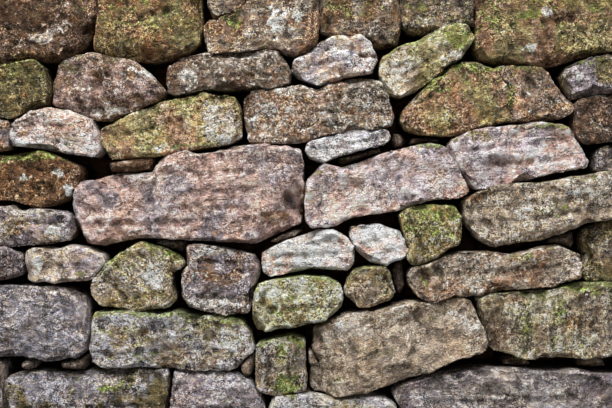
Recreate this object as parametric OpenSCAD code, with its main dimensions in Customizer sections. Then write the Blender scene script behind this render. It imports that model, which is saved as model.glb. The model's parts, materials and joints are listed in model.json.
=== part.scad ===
// Dry stone wall, a free-standing double-faced length of rough sandstone.
// Millimetres. X runs along the wall, Y through it (the seen face looks to -Y), Z up.
// The outlines are the stones of the seen face, read from the photograph by eye at
// 2.5 mm to a photograph pixel, in mm from the middle of the face and above its foot.

/* [Wall section] */
// thickness of the wall at its foot
base_thickness = 600; // [580:5:640]
// thickness of the wall just under the cap stones
top_thickness = 420; // [400:5:450]
// thickness of the small packing between the two faces, at the foot
hearting_base = 190; // [150:5:220]
// thickness of the packing at the top
hearting_top = 110; // [80:5:130]

/* [Stones] */
// how far each stone's outline draws back at the face, half an open joint
joint_half = 3; // [1.5:0.25:4]
// how far the worn edge of a face runs in from its outline
arris_run = 13; // [9:1:16]
// how far the worn edge of a face falls back
arris_fall = 17; // [10:1:24]
// depth behind the face at which neighbouring stones come together
bed_start = 52; // [40:2:70]
// how much a stone in its place stands proud or back of the wall's plane, as a factor
roughness = 1; // [0.5:0.1:1.3]

/* [Cap stones] */
// height of the flat stones laid across the top
cap_height = 118; // [100:2:140]
// how far the cap stones stand out past the faces below them
cap_overhang = 12; // [0:2:24]

/* [Hidden] */
// half the clearance between two stones that bear on one another
clear = 0.15;
top_z = 1165;
end_x = 1140;
face_slope = (base_thickness - top_thickness) / 2 / top_z;
core_slope = (hearting_base - hearting_top) / 2 / top_z;

function face_y(z) = -base_thickness / 2 + face_slope * z;
function core_y(z) = -hearting_base / 2 + core_slope * z - 2 * clear;
function turn(p) = [for (i = [len(p) - 1 : -1 : 0]) p[i]];
function twice_area(p) = let (n = len(p))
    [for (i = 0, s = 0; i <= n; s = s + (i < n ? p[i].x * p[(i + 1) % n].y - p[(i + 1) % n].x * p[i].y : 0),
        i = i + 1) s][n];
function ordered(p) = twice_area(p) > 0 ? p : turn(p);
function low(p, k) = min([for (q = p) q[k]]);
function high(p, k) = max([for (q = p) q[k]]);

// the nearest place to q on the level or upright line through the middle of outline p
function heart(p, q) = let (
    x0 = low(p, 0), x1 = high(p, 0), z0 = low(p, 1), z1 = high(p, 1),
    w = x1 - x0, h = z1 - z0, cx = (x0 + x1) / 2, cz = (z0 + z1) / 2)
    w > h ? [min(max(q.x, x0 + h / 2), x1 - h / 2), cz]
          : [cx, min(max(q.y, z0 + w / 2), z1 - w / 2)];
// outline p drawn in by d, or by less where it is narrow, and never below the ground
function drawn_in(p, d) = [for (q = p)
    let (v = heart(p, q) - q, r = q + v * min(d / norm(v), 0.6)) [r.x, max(r.y, 0)]];
function middle(p) = let (n = len(p)) [for (k = [0, 1]) [for (i = 0, s = 0; i <= n;
    s = s + (i < n ? p[i][k] : 0), i = i + 1) s][n] / n];

// One stone from its outline on the wall's face: proud is how far it stands out of the
// wall's plane, crown how far its face swells, lean_x and lean_z how the face slopes in
// mm for each 100 mm, back is 0 for a tail on the packing and 1 for one that meets its
// pair at the middle of the wall.
module stone(outline, proud = 0, crown = 6, lean_x = 0, lean_z = 0, back = 0, mid = [0, 0]) {
    p = ordered(outline);
    n = len(p);
    c = mid == [0, 0] ? middle(p) : mid;
    size = min(high(p, 0) - low(p, 0), high(p, 1) - low(p, 1));
    fall = min(arris_fall, size * 0.3);
    face = drawn_in(p, min(arris_run, size * 0.26));
    edge = drawn_in(p, min(joint_half, size * 0.08));
    bed = drawn_in(p, clear);
    fy = [for (q = face) face_y(q.y) - proud * roughness
        - (lean_x * (q.x - c.x) + lean_z * (q.y - c.y)) / 100];
    ey = [for (q = edge) face_y(q.y) + fall - proud * roughness
        - (lean_x * (q.x - c.x) + lean_z * (q.y - c.y)) / 100];
    function tail_y(z) = back == 1 ? -clear : core_y(z);
    points = concat(
        [[c.x, face_y(c.y) - proud * roughness - crown, c.y]],
        [for (i = [0 : n - 1]) [face[i].x, fy[i], face[i].y]],
        [for (i = [0 : n - 1]) [edge[i].x, ey[i], edge[i].y]],
        [for (q = bed) [q.x, face_y(q.y) + max(bed_start, fall - proud * roughness + 12), q.y]],
        [for (q = bed) [q.x, tail_y(q.y), q.y]],
        [[c.x, tail_y(c.y), c.y]]);
    last = 4 * n + 1;
    faces = concat(
        [for (i = [0 : n - 1]) [0, 1 + (i + 1) % n, 1 + i]],
        [for (r = [0 : 2]) for (i = [0 : n - 1])
            let (a = 1 + r * n + i, b = 1 + r * n + (i + 1) % n) [a, b, b + n]],
        [for (r = [0 : 2]) for (i = [0 : n - 1])
            let (a = 1 + r * n + i, b = 1 + r * n + (i + 1) % n) [a, b + n, a + n]],
        [for (i = [0 : n - 1]) [last, 1 + 3 * n + i, 1 + 3 * n + (i + 1) % n]]);
    polyhedron(points = points, faces = faces);
}

// A tie stone: an outline on the front face that runs through to the back face.
module tie(outline, proud = 0, crown = 6) {
    p = ordered(outline);
    n = len(p);
    c = middle(p);
    face = drawn_in(p, arris_run);
    edge = drawn_in(p, joint_half);
    bed = drawn_in(p, clear);
    function layer(ring, fall) = [for (q = ring) [q.x, face_y(q.y) + fall - proud, q.y]];
    function other(ring, fall) = [for (q = ring) [q.x, -face_y(q.y) - fall + proud, q.y]];
    points = concat(
        [[c.x, face_y(c.y) - proud - crown, c.y]],
        layer(face, 0), layer(edge, arris_fall), layer(bed, bed_start + proud),
        other(bed, bed_start + proud), other(edge, arris_fall), other(face, 0),
        [[c.x, -face_y(c.y) + proud + crown, c.y]]);
    last = 6 * n + 1;
    faces = concat(
        [for (i = [0 : n - 1]) [0, 1 + (i + 1) % n, 1 + i]],
        [for (r = [0 : 4]) for (i = [0 : n - 1])
            let (a = 1 + r * n + i, b = 1 + r * n + (i + 1) % n) [a, b, b + n]],
        [for (r = [0 : 4]) for (i = [0 : n - 1])
            let (a = 1 + r * n + i, b = 1 + r * n + (i + 1) % n) [a, b + n, a + n]],
        [for (i = [0 : n - 1]) [last, 1 + 5 * n + i, 1 + 5 * n + (i + 1) % n]]);
    polyhedron(points = points, faces = faces);
}

// Course 1: the footing stones
module footing() {
    stone([[-906, -4], [-904, 178], [-765, 180], [-755, 165], [-754, 70], [-750, -4]], 6, 5);
    stone([[-742, -4], [-748, 70], [-745, 143], [-715, 152], [-665, 154], [-628, 150], [-565, 152],
        [-515, 157], [-440, 160], [-345, 158], [-343, 120], [-352, 60], [-350, -4]], 10, 6, 0, -3);
    stone([[-340, -4], [-343, 60], [-336, 120], [-334, 154], [-290, 152], [-225, 153], [-172, 149],
        [-155, 140], [-138, 135], [-128, 116], [-112, 92], [-102, 70], [-100, -4]], 12, 7, 0, -2);
    stone([[-90, -4], [-93, 60], [-84, 84], [-74, 95], [-15, 101], [22, 99], [80, 90], [160, 97],
        [200, 90], [226, 70], [224, -4]], 14, 6, 0, -3);
    stone([[234, -4], [236, 70], [216, 104], [235, 122], [300, 142], [410, 160], [460, 162],
        [598, 158], [635, 155], [672, 161], [735, 150], [790, 148], [788, -4]], 12, 7, 0, -3);
    stone([[797, -4], [798, 140], [812, 165], [902, 168], [905, -4]], 5, 6);
}

// Course 2: the large stones low in the face
module course_2() {
    stone([[-905, 190], [-903, 372], [-740, 370], [-640, 366], [-590, 358], [-560, 343],
        [-545, 312], [-547, 260], [-551, 208], [-570, 194], [-615, 184], [-645, 183],
        [-675, 194], [-765, 190]], 2, 9, 0, 2);
    stone([[-530, 302], [-450, 308], [-365, 300], [-328, 306], [-300, 296], [-202, 296],
        [-160, 285], [-140, 256], [-130, 212], [-152, 188], [-178, 165], [-260, 157],
        [-410, 168], [-505, 167], [-535, 182], [-538, 220]], 6, 12, 1, 2);
    stone([[-124, 185], [-122, 222], [-78, 238], [-35, 248], [0, 236], [-1, 180], [2, 135],
        [-2, 110], [-50, 102], [-90, 100], [-120, 114], [-125, 148]], 0, 8, 0, 1);
    stone([[17, 262], [50, 276], [98, 298], [165, 305], [260, 327], [320, 329], [385, 338],
        [410, 332], [430, 295], [450, 255], [454, 228], [440, 208], [390, 195], [310, 160],
        [148, 108], [80, 95], [22, 105], [10, 120], [11, 163], [42, 169], [17, 212]],
        12, 14, 2, 3, mid = [205, 192]);
    stone([[433, 340], [472, 347], [540, 356], [605, 361], [660, 369], [765, 379], [902, 384],
        [905, 196], [765, 198], [705, 191], [560, 191], [530, 193], [515, 203], [470, 210],
        [460, 218], [456, 255], [440, 298]], 4, 8, -1, 2);
}

// Course 3
module course_3() {
    stone([[-870, 384], [-875, 464], [-765, 467], [-716, 450], [-711, 430], [-713, 408],
        [-722, 394], [-765, 383]], -8, 6);
    stone([[-706, 432], [-704, 458], [-690, 465], [-660, 466], [-625, 461], [-600, 469],
        [-545, 461], [-512, 447], [-505, 430], [-525, 404], [-540, 386], [-615, 380],
        [-690, 378], [-702, 385]], 0, 7, 0, 2);
    stone([[-508, 422], [-465, 452], [-415, 479], [-365, 464], [-322, 444], [-306, 424],
        [-340, 409], [-338, 370], [-328, 335], [-345, 317], [-390, 309], [-450, 308],
        [-515, 324], [-538, 350], [-537, 372], [-520, 402]], 2, 10, 0, 3);
    stone([[-300, 430], [-297, 468], [-265, 472], [-195, 460], [-132, 446], [-117, 420],
        [-118, 392], [-132, 360], [-136, 320], [-145, 306], [-202, 296], [-265, 310],
        [-304, 328], [-312, 345], [-309, 400]], 4, 10, 2, 0);
    stone([[-128, 352], [-116, 372], [-78, 386], [-2, 395], [48, 391], [85, 373], [94, 340],
        [90, 315], [55, 286], [-15, 265], [-90, 258], [-122, 258], [-132, 275], [-131, 320]],
        8, 12, 0, 2);
    stone([[122, 407], [148, 416], [198, 418], [212, 398], [222, 365], [225, 350], [198, 330],
        [160, 313], [135, 315], [103, 343], [98, 362], [107, 388]], -8, 10);
    stone([[258, 395], [266, 411], [310, 422], [348, 443], [390, 453], [460, 455], [522, 445],
        [585, 460], [635, 470], [682, 452], [693, 425], [688, 392], [640, 378], [600, 366],
        [520, 361], [448, 350], [372, 342], [320, 329], [285, 340], [262, 370]], 8, 10, 0, 3);
}

// Course 4
module course_4() {
    stone([[-905, 470], [-903, 572], [-765, 568], [-745, 573], [-725, 557], [-685, 565],
        [-645, 561], [-600, 553], [-590, 538], [-588, 510], [-598, 486], [-652, 475],
        [-765, 467]], 6, 8, 0, 2, mid = [-728, 518]);
    stone([[-112, 425], [-110, 450], [-78, 470], [-28, 489], [35, 508], [68, 508], [105, 490],
        [124, 455], [118, 425], [105, 412], [10, 410], [-65, 398], [-92, 395], [-106, 405]],
        -4, 10, 1, 2);
    stone([[110, 495], [113, 517], [185, 525], [215, 513], [240, 503], [247, 488], [256, 460],
        [248, 445], [213, 430], [198, 418], [162, 430], [130, 458]], 0, 9, 0, 2);
    stone([[236, 550], [262, 567], [322, 574], [378, 568], [392, 545], [392, 498], [386, 475],
        [335, 447], [285, 425], [265, 427], [257, 442], [262, 462], [248, 508]], 4, 12, 0, 3);
    stone([[695, 460], [701, 430], [698, 398], [710, 386], [765, 384], [870, 388], [875, 525],
        [765, 536], [712, 512], [698, 490]], -18, 8);
}

// Course 5: the longest stones of the face
module course_5() {
    stone([[-870, 588], [-875, 698], [-765, 697], [-715, 706], [-670, 708], [-622, 692],
        [-575, 671], [-570, 655], [-580, 615], [-600, 588], [-640, 570], [-685, 565],
        [-745, 585]], 0, 10, 0, 2);
    stone([[-587, 598], [-570, 632], [-480, 651], [-392, 655], [-380, 678], [-350, 700],
        [-302, 710], [-265, 700], [-178, 722], [-100, 727], [-15, 712], [-4, 680], [-8, 570],
        [-12, 530], [-128, 475], [-265, 485], [-428, 491], [-515, 472], [-556, 481],
        [-573, 510], [-587, 555]], 12, 12, 2, 2, mid = [-270, 590]);
    stone([[-1, 600], [1, 634], [22, 655], [44, 679], [90, 666], [130, 680], [198, 705],
        [255, 718], [320, 728], [352, 720], [388, 665], [416, 608], [385, 592], [310, 585],
        [262, 567], [235, 558], [122, 543], [72, 522], [15, 518], [1, 535]], 6, 11, 1, 2,
        mid = [175, 610]);
    stone([[400, 548], [403, 585], [435, 604], [498, 627], [598, 628], [660, 640], [735, 652],
        [765, 656], [905, 660], [902, 538], [765, 536], [710, 525], [640, 502], [598, 488],
        [505, 476], [470, 468], [440, 485], [408, 525]], 10, 12, 0, 3);
}

// Course 6
module course_6() {
    stone([[-903, 712], [-905, 790], [-800, 795], [-758, 786], [-755, 750], [-758, 716]], -6, 6);
    stone([[-752, 752], [-742, 785], [-700, 815], [-652, 822], [-600, 808], [-545, 790],
        [-532, 760], [-520, 712], [-535, 695], [-595, 703], [-665, 717], [-750, 728]],
        10, 12, 0, 2);
    stone([[-518, 735], [-520, 765], [-478, 786], [-428, 810], [-365, 836], [-285, 852],
        [-262, 863], [-235, 855], [-178, 846], [-163, 815], [-163, 745], [-195, 728],
        [-302, 710], [-415, 695], [-500, 690]], 8, 12, 1, 2);
    stone([[-158, 835], [-143, 863], [-75, 873], [-15, 877], [30, 868], [80, 890], [135, 898],
        [186, 890], [208, 855], [224, 795], [215, 772], [122, 763], [55, 751], [-15, 732],
        [-100, 727], [-142, 729], [-159, 780]], 6, 10, 1, 2);
    stone([[0, 708], [2, 724], [18, 735], [72, 750], [122, 763], [185, 766], [208, 762],
        [215, 742], [205, 732], [140, 714], [76, 695], [44, 679], [10, 691]], 10, 5, 0, 2);
    stone([[360, 720], [372, 739], [435, 765], [540, 779], [600, 784], [655, 775], [680, 755],
        [712, 690], [706, 670], [655, 660], [605, 652], [572, 640], [498, 627], [435, 612],
        [418, 622], [388, 665]], 6, 11, 0, 2);
    stone([[738, 697], [743, 710], [765, 722], [870, 728], [875, 660], [765, 656], [740, 661]],
        -16, 5);
}

// Course 7
module course_7() {
    stone([[-875, 800], [-800, 798], [-745, 793], [-720, 808], [-695, 822], [-665, 832],
        [-660, 850], [-662, 890], [-672, 925], [-695, 942], [-765, 932], [-875, 936]],
        2, 9, 0, 2);
    stone([[-645, 828], [-648, 880], [-632, 940], [-590, 958], [-540, 960], [-440, 938],
        [-400, 908], [-358, 862], [-365, 845], [-415, 828], [-450, 804], [-500, 788],
        [-535, 790], [-600, 812]], 10, 12, 0, 2);
    stone([[-358, 880], [-352, 922], [-315, 948], [-245, 962], [-80, 972], [-60, 950],
        [-38, 915], [-42, 885], [-75, 873], [-205, 865], [-245, 869], [-335, 853],
        [-350, 862]], 8, 11, 0, 2);
    stone([[-35, 915], [-33, 937], [0, 957], [38, 988], [75, 1003], [135, 1006], [165, 990],
        [178, 965], [182, 945], [168, 913], [98, 902], [80, 890], [60, 884], [30, 878],
        [-15, 897]], 4, 11, 0, 2);
    stone([[187, 915], [195, 950], [235, 978], [285, 988], [335, 1022], [372, 1033],
        [418, 1033], [433, 1005], [398, 950], [360, 928], [335, 902], [285, 868], [245, 850],
        [212, 856], [192, 885]], 6, 12, 1, 2);
    stone([[240, 785], [245, 812], [290, 858], [335, 902], [375, 933], [435, 940], [478, 925],
        [505, 890], [524, 850], [515, 820], [516, 786], [435, 765], [372, 750], [300, 753],
        [255, 765]], 4, 12, 0, 3);
    stone([[482, 925], [530, 932], [605, 926], [628, 903], [655, 868], [682, 825], [675, 808],
        [650, 793], [600, 784], [540, 785], [516, 786], [519, 818], [529, 850], [508, 893]],
        -4, 10, 0, 2);
}

// Course 8
module course_8() {
    stone([[686, 780], [688, 830], [700, 842], [748, 854], [902, 858], [905, 740], [765, 735],
        [715, 732], [698, 738], [689, 755]], 0, 8, 0, 2);
    stone([[655, 903], [672, 930], [710, 945], [765, 960], [877, 965], [880, 862], [765, 862],
        [698, 848], [685, 843], [674, 862]], 4, 8, 0, 2);
}

// Course 9: the stones that run on above the photograph's edge
module course_9() {
    stone([[-905, 938], [-765, 932], [-695, 942], [-635, 945], [-580, 970], [-555, 1000],
        [-540, 1040], [-535, 1085], [-530, 1165], [-903, 1165]], 0, 9, 0, 2);
    stone([[-540, 965], [-515, 955], [-440, 945], [-390, 940], [-350, 950], [-300, 965],
        [-275, 990], [-268, 1035], [-270, 1100], [-275, 1165], [-530, 1165], [-528, 1085],
        [-535, 1010]], 8, 12, 0, 2);
    stone([[-262, 1165], [-252, 1090], [-240, 1058], [-205, 1068], [-180, 1070], [-162, 1095],
        [-150, 1165]], -4, 5);
    stone([[-262, 1035], [-262, 1000], [-245, 962], [-80, 972], [-32, 957], [10, 970],
        [28, 990], [33, 1025], [33, 1085], [30, 1165], [-140, 1165], [-150, 1090],
        [-180, 1070], [-230, 1045]], 6, 11, 0, 2);
    stone([[38, 1015], [60, 1008], [135, 1006], [165, 990], [185, 978], [235, 985],
        [242, 1010], [242, 1085], [238, 1165], [30, 1165], [38, 1085]], -4, 9, 0, 2);
    stone([[246, 1035], [270, 1018], [297, 1015], [335, 1022], [372, 1040], [410, 1043],
        [430, 1036], [432, 1085], [430, 1165], [238, 1165]], 2, 8, 0, 2, mid = [338, 1096]);
    stone([[436, 1085], [435, 972], [447, 948], [485, 935], [560, 932], [605, 926],
        [635, 932], [672, 940], [710, 952], [765, 965], [845, 968], [850, 1165],
        [430, 1165]], 8, 12, 0, 2);
}

// Small stones wedged into the joints of the face
module pinnings() {
    stone([[-505, 680], [-415, 695], [-388, 690], [-394, 663], [-440, 656], [-500, 658]], -14, 3);
    stone([[-134, 200], [-129, 184], [-131, 160], [-138, 146], [-152, 145], [-163, 156],
        [-164, 170], [-150, 184]], -6, 4);
    stone([[6, 208], [14, 208], [24, 190], [34, 172], [9, 170], [5, 186]], -10, 2);
    stone([[-714, 180], [-695, 183], [-678, 178], [-680, 162], [-700, 160], [-713, 164]], -12, 3);
    stone([[-618, 176], [-575, 186], [-552, 196], [-550, 165], [-560, 156], [-612, 160]], -16, 3);
}

// Rough chocks deep in the open joints, part of the packing that shows
module chocks() {
    stone([[222, 740], [228, 760], [245, 757], [258, 740], [250, 724], [228, 722]], -52, 4);
    stone([[268, 730], [274, 746], [316, 749], [348, 741], [345, 732], [318, 735]], -58, 4);
    stone([[72, 688], [130, 704], [190, 722], [196, 711], [130, 687], [92, 673]], -50, 4);
    stone([[602, 474], [642, 493], [688, 508], [690, 475], [684, 462], [640, 474]], -50, 4,
        mid = [662, 485]);
    stone([[-98, 476], [-60, 498], [-22, 514], [-8, 508], [-26, 493], [-72, 475]], -52, 3,
        mid = [-48, 494]);
    stone([[-395, 478], [-380, 484], [-310, 482], [-303, 470], [-312, 450], [-350, 463]], -56, 4);
    stone([[219, 402], [228, 424], [248, 430], [250, 395], [253, 368], [240, 345], [231, 352],
        [229, 370]], -48, 4);
    stone([[500, 167], [504, 183], [532, 188], [562, 184], [574, 165], [536, 162]], -60, 4);
    stone([[690, 165], [694, 183], [722, 188], [754, 184], [762, 162], [724, 160]], -56, 4);
}

// Beds of the two end stacks, from the foot up
left_beds = [-4, 181, 380, 469, 577, 707, 798, 937, 1052, 1165];
left_inner = [912, 911, 881, 911, 881, 911, 881, 911, 911];
right_beds = [-4, 176, 388, 532, 661, 733, 862, 967, 1068, 1165];
right_inner = [911, 911, 881, 911, 881, 911, 886, 857, 857];

// outline of end stone k on side s (-1 left, 1 right), beds a little out of level
function end_outline(s, k) = let (
    beds = s < 0 ? left_beds : right_beds,
    inner = s < 0 ? left_inner[k] : right_inner[k],
    a = beds[k], b = beds[k + 1],
    da = k == 0 ? 0 : 4 * cos(k * 140), db = k == 8 ? 0 : 4 * cos((k + 1) * 140),
    m = (a + b) / 2, w = 6 * sin(k * 97))
    [[s * (end_x - 4), a + da], [s * inner, a - da], [s * (inner + 2), m],
     [s * inner, b - db], [s * (end_x - 4), b + db], [s * (end_x - w - 6), m]];

// the end stones laid in pairs, front and back, each long into the wall
module end_pairs(s) {
    for (k = [0 : 2 : 8]) {
        stone(end_outline(s, k), 2 + 5 * sin(k * 75), 6, 0, 0, 1);
    }
}

// the end stones that tie the two faces
module end_ties(s) {
    for (k = [1 : 2 : 7]) tie(end_outline(s, k), 3 + 4 * sin(k * 60), 6);
}

// Cap stones across the whole thickness; x is where each starts
cap_x = [-1140, -905, -640, -372, -118, 152, 402, 664, 905, 1140];
module cap(k) {
    x0 = cap_x[k] + clear;
    x1 = cap_x[k + 1] - clear;
    half = top_thickness / 2 + cap_overhang + 5 * sin(k * 83);
    z0 = top_z + clear;
    z1 = top_z + cap_height + 8 * sin(k * 131);
    tilt = 5 * sin(k * 57);
    m = (x0 + x1) / 2;
    r = 14;
    // plan outline, drawn in by a, at a height
    function plan(a, z, dz) = [
        [x0 + a, -half + a + 12, z + dz], [x0 + a + 12, -half + a, z + dz],
        [m, -half + a - 4, z], [x1 - a - 12, -half + a, z - dz], [x1 - a, -half + a + 12, z - dz],
        [x1 - a, 0, z - dz], [x1 - a, half - a - 12, z - dz], [x1 - a - 12, half - a, z - dz],
        [m, half - a + 4, z], [x0 + a + 12, half - a, z + dz], [x0 + a, half - a - 12, z + dz],
        [x0 + a, 0, z + dz]];
    n = 12;
    points = concat([[m, 0, z0]], plan(8, z0, 0), plan(0, z0 + 10, 0), plan(0, z1 - r - 8, tilt),
        plan(4, z1 - 8, tilt), plan(r, z1, tilt), [[m, 0, z1 + 6]]);
    last = 5 * n + 1;
    faces = concat(
        [for (i = [0 : n - 1]) [0, 1 + i, 1 + (i + 1) % n]],
        [for (q = [0 : 3]) for (i = [0 : n - 1])
            let (a = 1 + q * n + i, b = 1 + q * n + (i + 1) % n) [a, a + n, b + n]],
        [for (q = [0 : 3]) for (i = [0 : n - 1])
            let (a = 1 + q * n + i, b = 1 + q * n + (i + 1) % n) [a, b + n, b]],
        [for (i = [0 : n - 1]) [last, 1 + 4 * n + (i + 1) % n, 1 + 4 * n + i]]);
    polyhedron(points = points, faces = faces);
}

module stone_colour() {
    color([0.55, 0.5, 0.45]) children();
}

module front_footing() { stone_colour() footing(); }
module front_course_2() { stone_colour() course_2(); }
module front_course_3() { stone_colour() course_3(); }
module front_course_4() { stone_colour() course_4(); }
module front_course_5() { stone_colour() course_5(); }
module front_course_6() { stone_colour() course_6(); }
module front_course_7() { stone_colour() course_7(); }
module front_course_8() { stone_colour() course_8(); }
module front_course_9() { stone_colour() course_9(); }
module front_pinnings() { stone_colour() pinnings(); }
module front_chocks() { stone_colour() chocks(); }
module back_footing() { mirror([0, 1, 0]) front_footing(); }
module back_course_2() { mirror([0, 1, 0]) front_course_2(); }
module back_course_3() { mirror([0, 1, 0]) front_course_3(); }
module back_course_4() { mirror([0, 1, 0]) front_course_4(); }
module back_course_5() { mirror([0, 1, 0]) front_course_5(); }
module back_course_6() { mirror([0, 1, 0]) front_course_6(); }
module back_course_7() { mirror([0, 1, 0]) front_course_7(); }
module back_course_8() { mirror([0, 1, 0]) front_course_8(); }
module back_course_9() { mirror([0, 1, 0]) front_course_9(); }
module back_pinnings() { mirror([0, 1, 0]) front_pinnings(); }
module back_chocks() { mirror([0, 1, 0]) front_chocks(); }
module left_end_ties() { stone_colour() end_ties(-1); }
module right_end_ties() { stone_colour() end_ties(1); }
module left_end_front() { stone_colour() end_pairs(-1); }
module right_end_front() { stone_colour() end_pairs(1); }
module left_end_back() { mirror([0, 1, 0]) left_end_front(); }
module right_end_back() { mirror([0, 1, 0]) right_end_front(); }
module cap_stones() { stone_colour() for (k = [0 : 8]) cap(k); }

// The packing of small stones between the two faces, one mass
module hearting() {
    color([0.42, 0.38, 0.34])
    translate([(856.7 - 880.7) / 2, 0, 0]) rotate([90, 0, 90])
    linear_extrude(height = 856.7 + 880.7, center = true)
    polygon([[-hearting_base / 2, 0], [hearting_base / 2, 0],
        [hearting_top / 2, top_z - clear], [-hearting_top / 2, top_z - clear]]);
}

front_footing();
front_course_2();
front_course_3();
front_course_4();
front_course_5();
front_course_6();
front_course_7();
front_course_8();
front_course_9();
front_pinnings();
front_chocks();
back_footing();
back_course_2();
back_course_3();
back_course_4();
back_course_5();
back_course_6();
back_course_7();
back_course_8();
back_course_9();
back_pinnings();
back_chocks();
left_end_ties();
left_end_front();
left_end_back();
right_end_ties();
right_end_front();
right_end_back();
hearting();
cap_stones();
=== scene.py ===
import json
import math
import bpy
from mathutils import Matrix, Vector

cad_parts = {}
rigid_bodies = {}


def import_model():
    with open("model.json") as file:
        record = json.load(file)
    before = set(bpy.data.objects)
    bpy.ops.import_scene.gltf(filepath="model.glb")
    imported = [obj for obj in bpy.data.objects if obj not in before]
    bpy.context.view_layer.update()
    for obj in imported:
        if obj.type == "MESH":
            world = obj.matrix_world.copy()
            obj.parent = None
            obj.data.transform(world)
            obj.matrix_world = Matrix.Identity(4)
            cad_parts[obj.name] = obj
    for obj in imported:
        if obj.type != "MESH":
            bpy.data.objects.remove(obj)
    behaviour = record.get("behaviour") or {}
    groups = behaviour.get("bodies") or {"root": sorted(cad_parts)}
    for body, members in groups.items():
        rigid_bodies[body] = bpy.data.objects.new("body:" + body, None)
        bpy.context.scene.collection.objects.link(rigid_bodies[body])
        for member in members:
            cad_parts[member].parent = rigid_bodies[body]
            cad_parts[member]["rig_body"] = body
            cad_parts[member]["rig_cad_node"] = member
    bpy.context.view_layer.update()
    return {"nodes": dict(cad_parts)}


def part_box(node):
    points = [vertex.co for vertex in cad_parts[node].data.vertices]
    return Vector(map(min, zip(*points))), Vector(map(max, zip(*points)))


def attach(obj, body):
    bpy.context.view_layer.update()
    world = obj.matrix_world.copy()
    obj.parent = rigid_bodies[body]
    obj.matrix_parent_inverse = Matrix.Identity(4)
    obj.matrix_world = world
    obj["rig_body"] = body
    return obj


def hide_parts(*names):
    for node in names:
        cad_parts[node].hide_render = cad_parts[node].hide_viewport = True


bl_info = {
    "name": "Dry stone wall",
    "version": (1, 0, 0),
    "blender": (4, 5, 0),
    "location": "View3D > Sidebar > Dry stone wall",
    "description": "Gives the wall's stones rough faces and weathered sandstone, and sets up the studio",
    "category": "Object",
}

import bpy
import numpy as np
from mathutils import Matrix, Vector

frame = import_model()
NODES = frame["nodes"]

# Millimetres to a metre
MM = 1000.0

# Each face stands this far out at the foot, and leans back by the batter up to the top course
FOOT_Y = 0.300
BATTER = 0.09
TOP_COURSE_Z = 1.165
FACE_SLOPE = BATTER / TOP_COURSE_Z

# The end faces stand this far from the middle
END_X = 1.136

# Corners of a CAD mesh that lie this close are one point
MERGE_WITHIN = 0.00002

# The grid of pinnings and packing stones is no coarser than this
SMALL_GRID = 0.006

# A stone smaller than this, and this far from any listed one, is rough packing, in mm
PACKING_SIZE = 130
PACKING_AWAY = 30

# Flakes: one to this length of a stone's edges, one to this much of its face, and shallower on
# the edges of stones that are lower than this
EDGE_FLAKE_EVERY = 0.045
FACE_FLAKE_AREA = 0.0028
SLENDER_BELOW = 0.13

# Beds, in mm: one to this much of a stone's height, each wavering by these lengths and heights
BED_EVERY = 16.0
BED_WAVES = ((230.0, 7.0), (70.0, 4.0), (26.0, 2.0))

# What a stone's place is multiplied by, so that no two stones share a pattern
BED_SHIFT = (7.0, 3.0, 9.0)

# The columns of the growth attribute; the pale column is worn stone and also the painted highlight on upward
# faces
GROWTH = ("moss", "lichen", "rust", "pale")

# A contrast is stored as a share of this, since a stored value stops at 1
CONTRAST_RANGE = 2.0

# What stands out this far, of a small and of a wide surrounding, is worn most and gets the most painted
# highlight, and what sinks in as far gets painted shade
FINE_SWELL = 0.0016
BROAD_SWELL = 0.006

# Dirt and painted shade start this deep behind a face, and are darkest this much further in
CLEAN_UNSHADED_DEPTH = 0.012
DARK_DEPTH = 0.12

# The tints are lightened by this, since the grain, the dirt and the painted shade darken them
LIGHTENED = 1.25

# No part of a stone is lighter than this
LIGHTEST = 0.92

# Colours of the stone, as they look on a screen
PALETTE = {
    "pink": (0.70, 0.60, 0.55),
    "mauve": (0.57, 0.52, 0.53),
    "brown": (0.49, 0.38, 0.30),
    "rust": (0.56, 0.44, 0.32),
    "olive": (0.47, 0.42, 0.29),
    "umber": (0.46, 0.34, 0.24),
    "dark": (0.36, 0.30, 0.26),
    "pale": (0.74, 0.70, 0.69),
    "taupe": (0.56, 0.50, 0.44),
    "cream": (0.77, 0.72, 0.61),
    "lavender": (0.65, 0.62, 0.64),
    "rose": (0.69, 0.57, 0.53),
}

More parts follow.
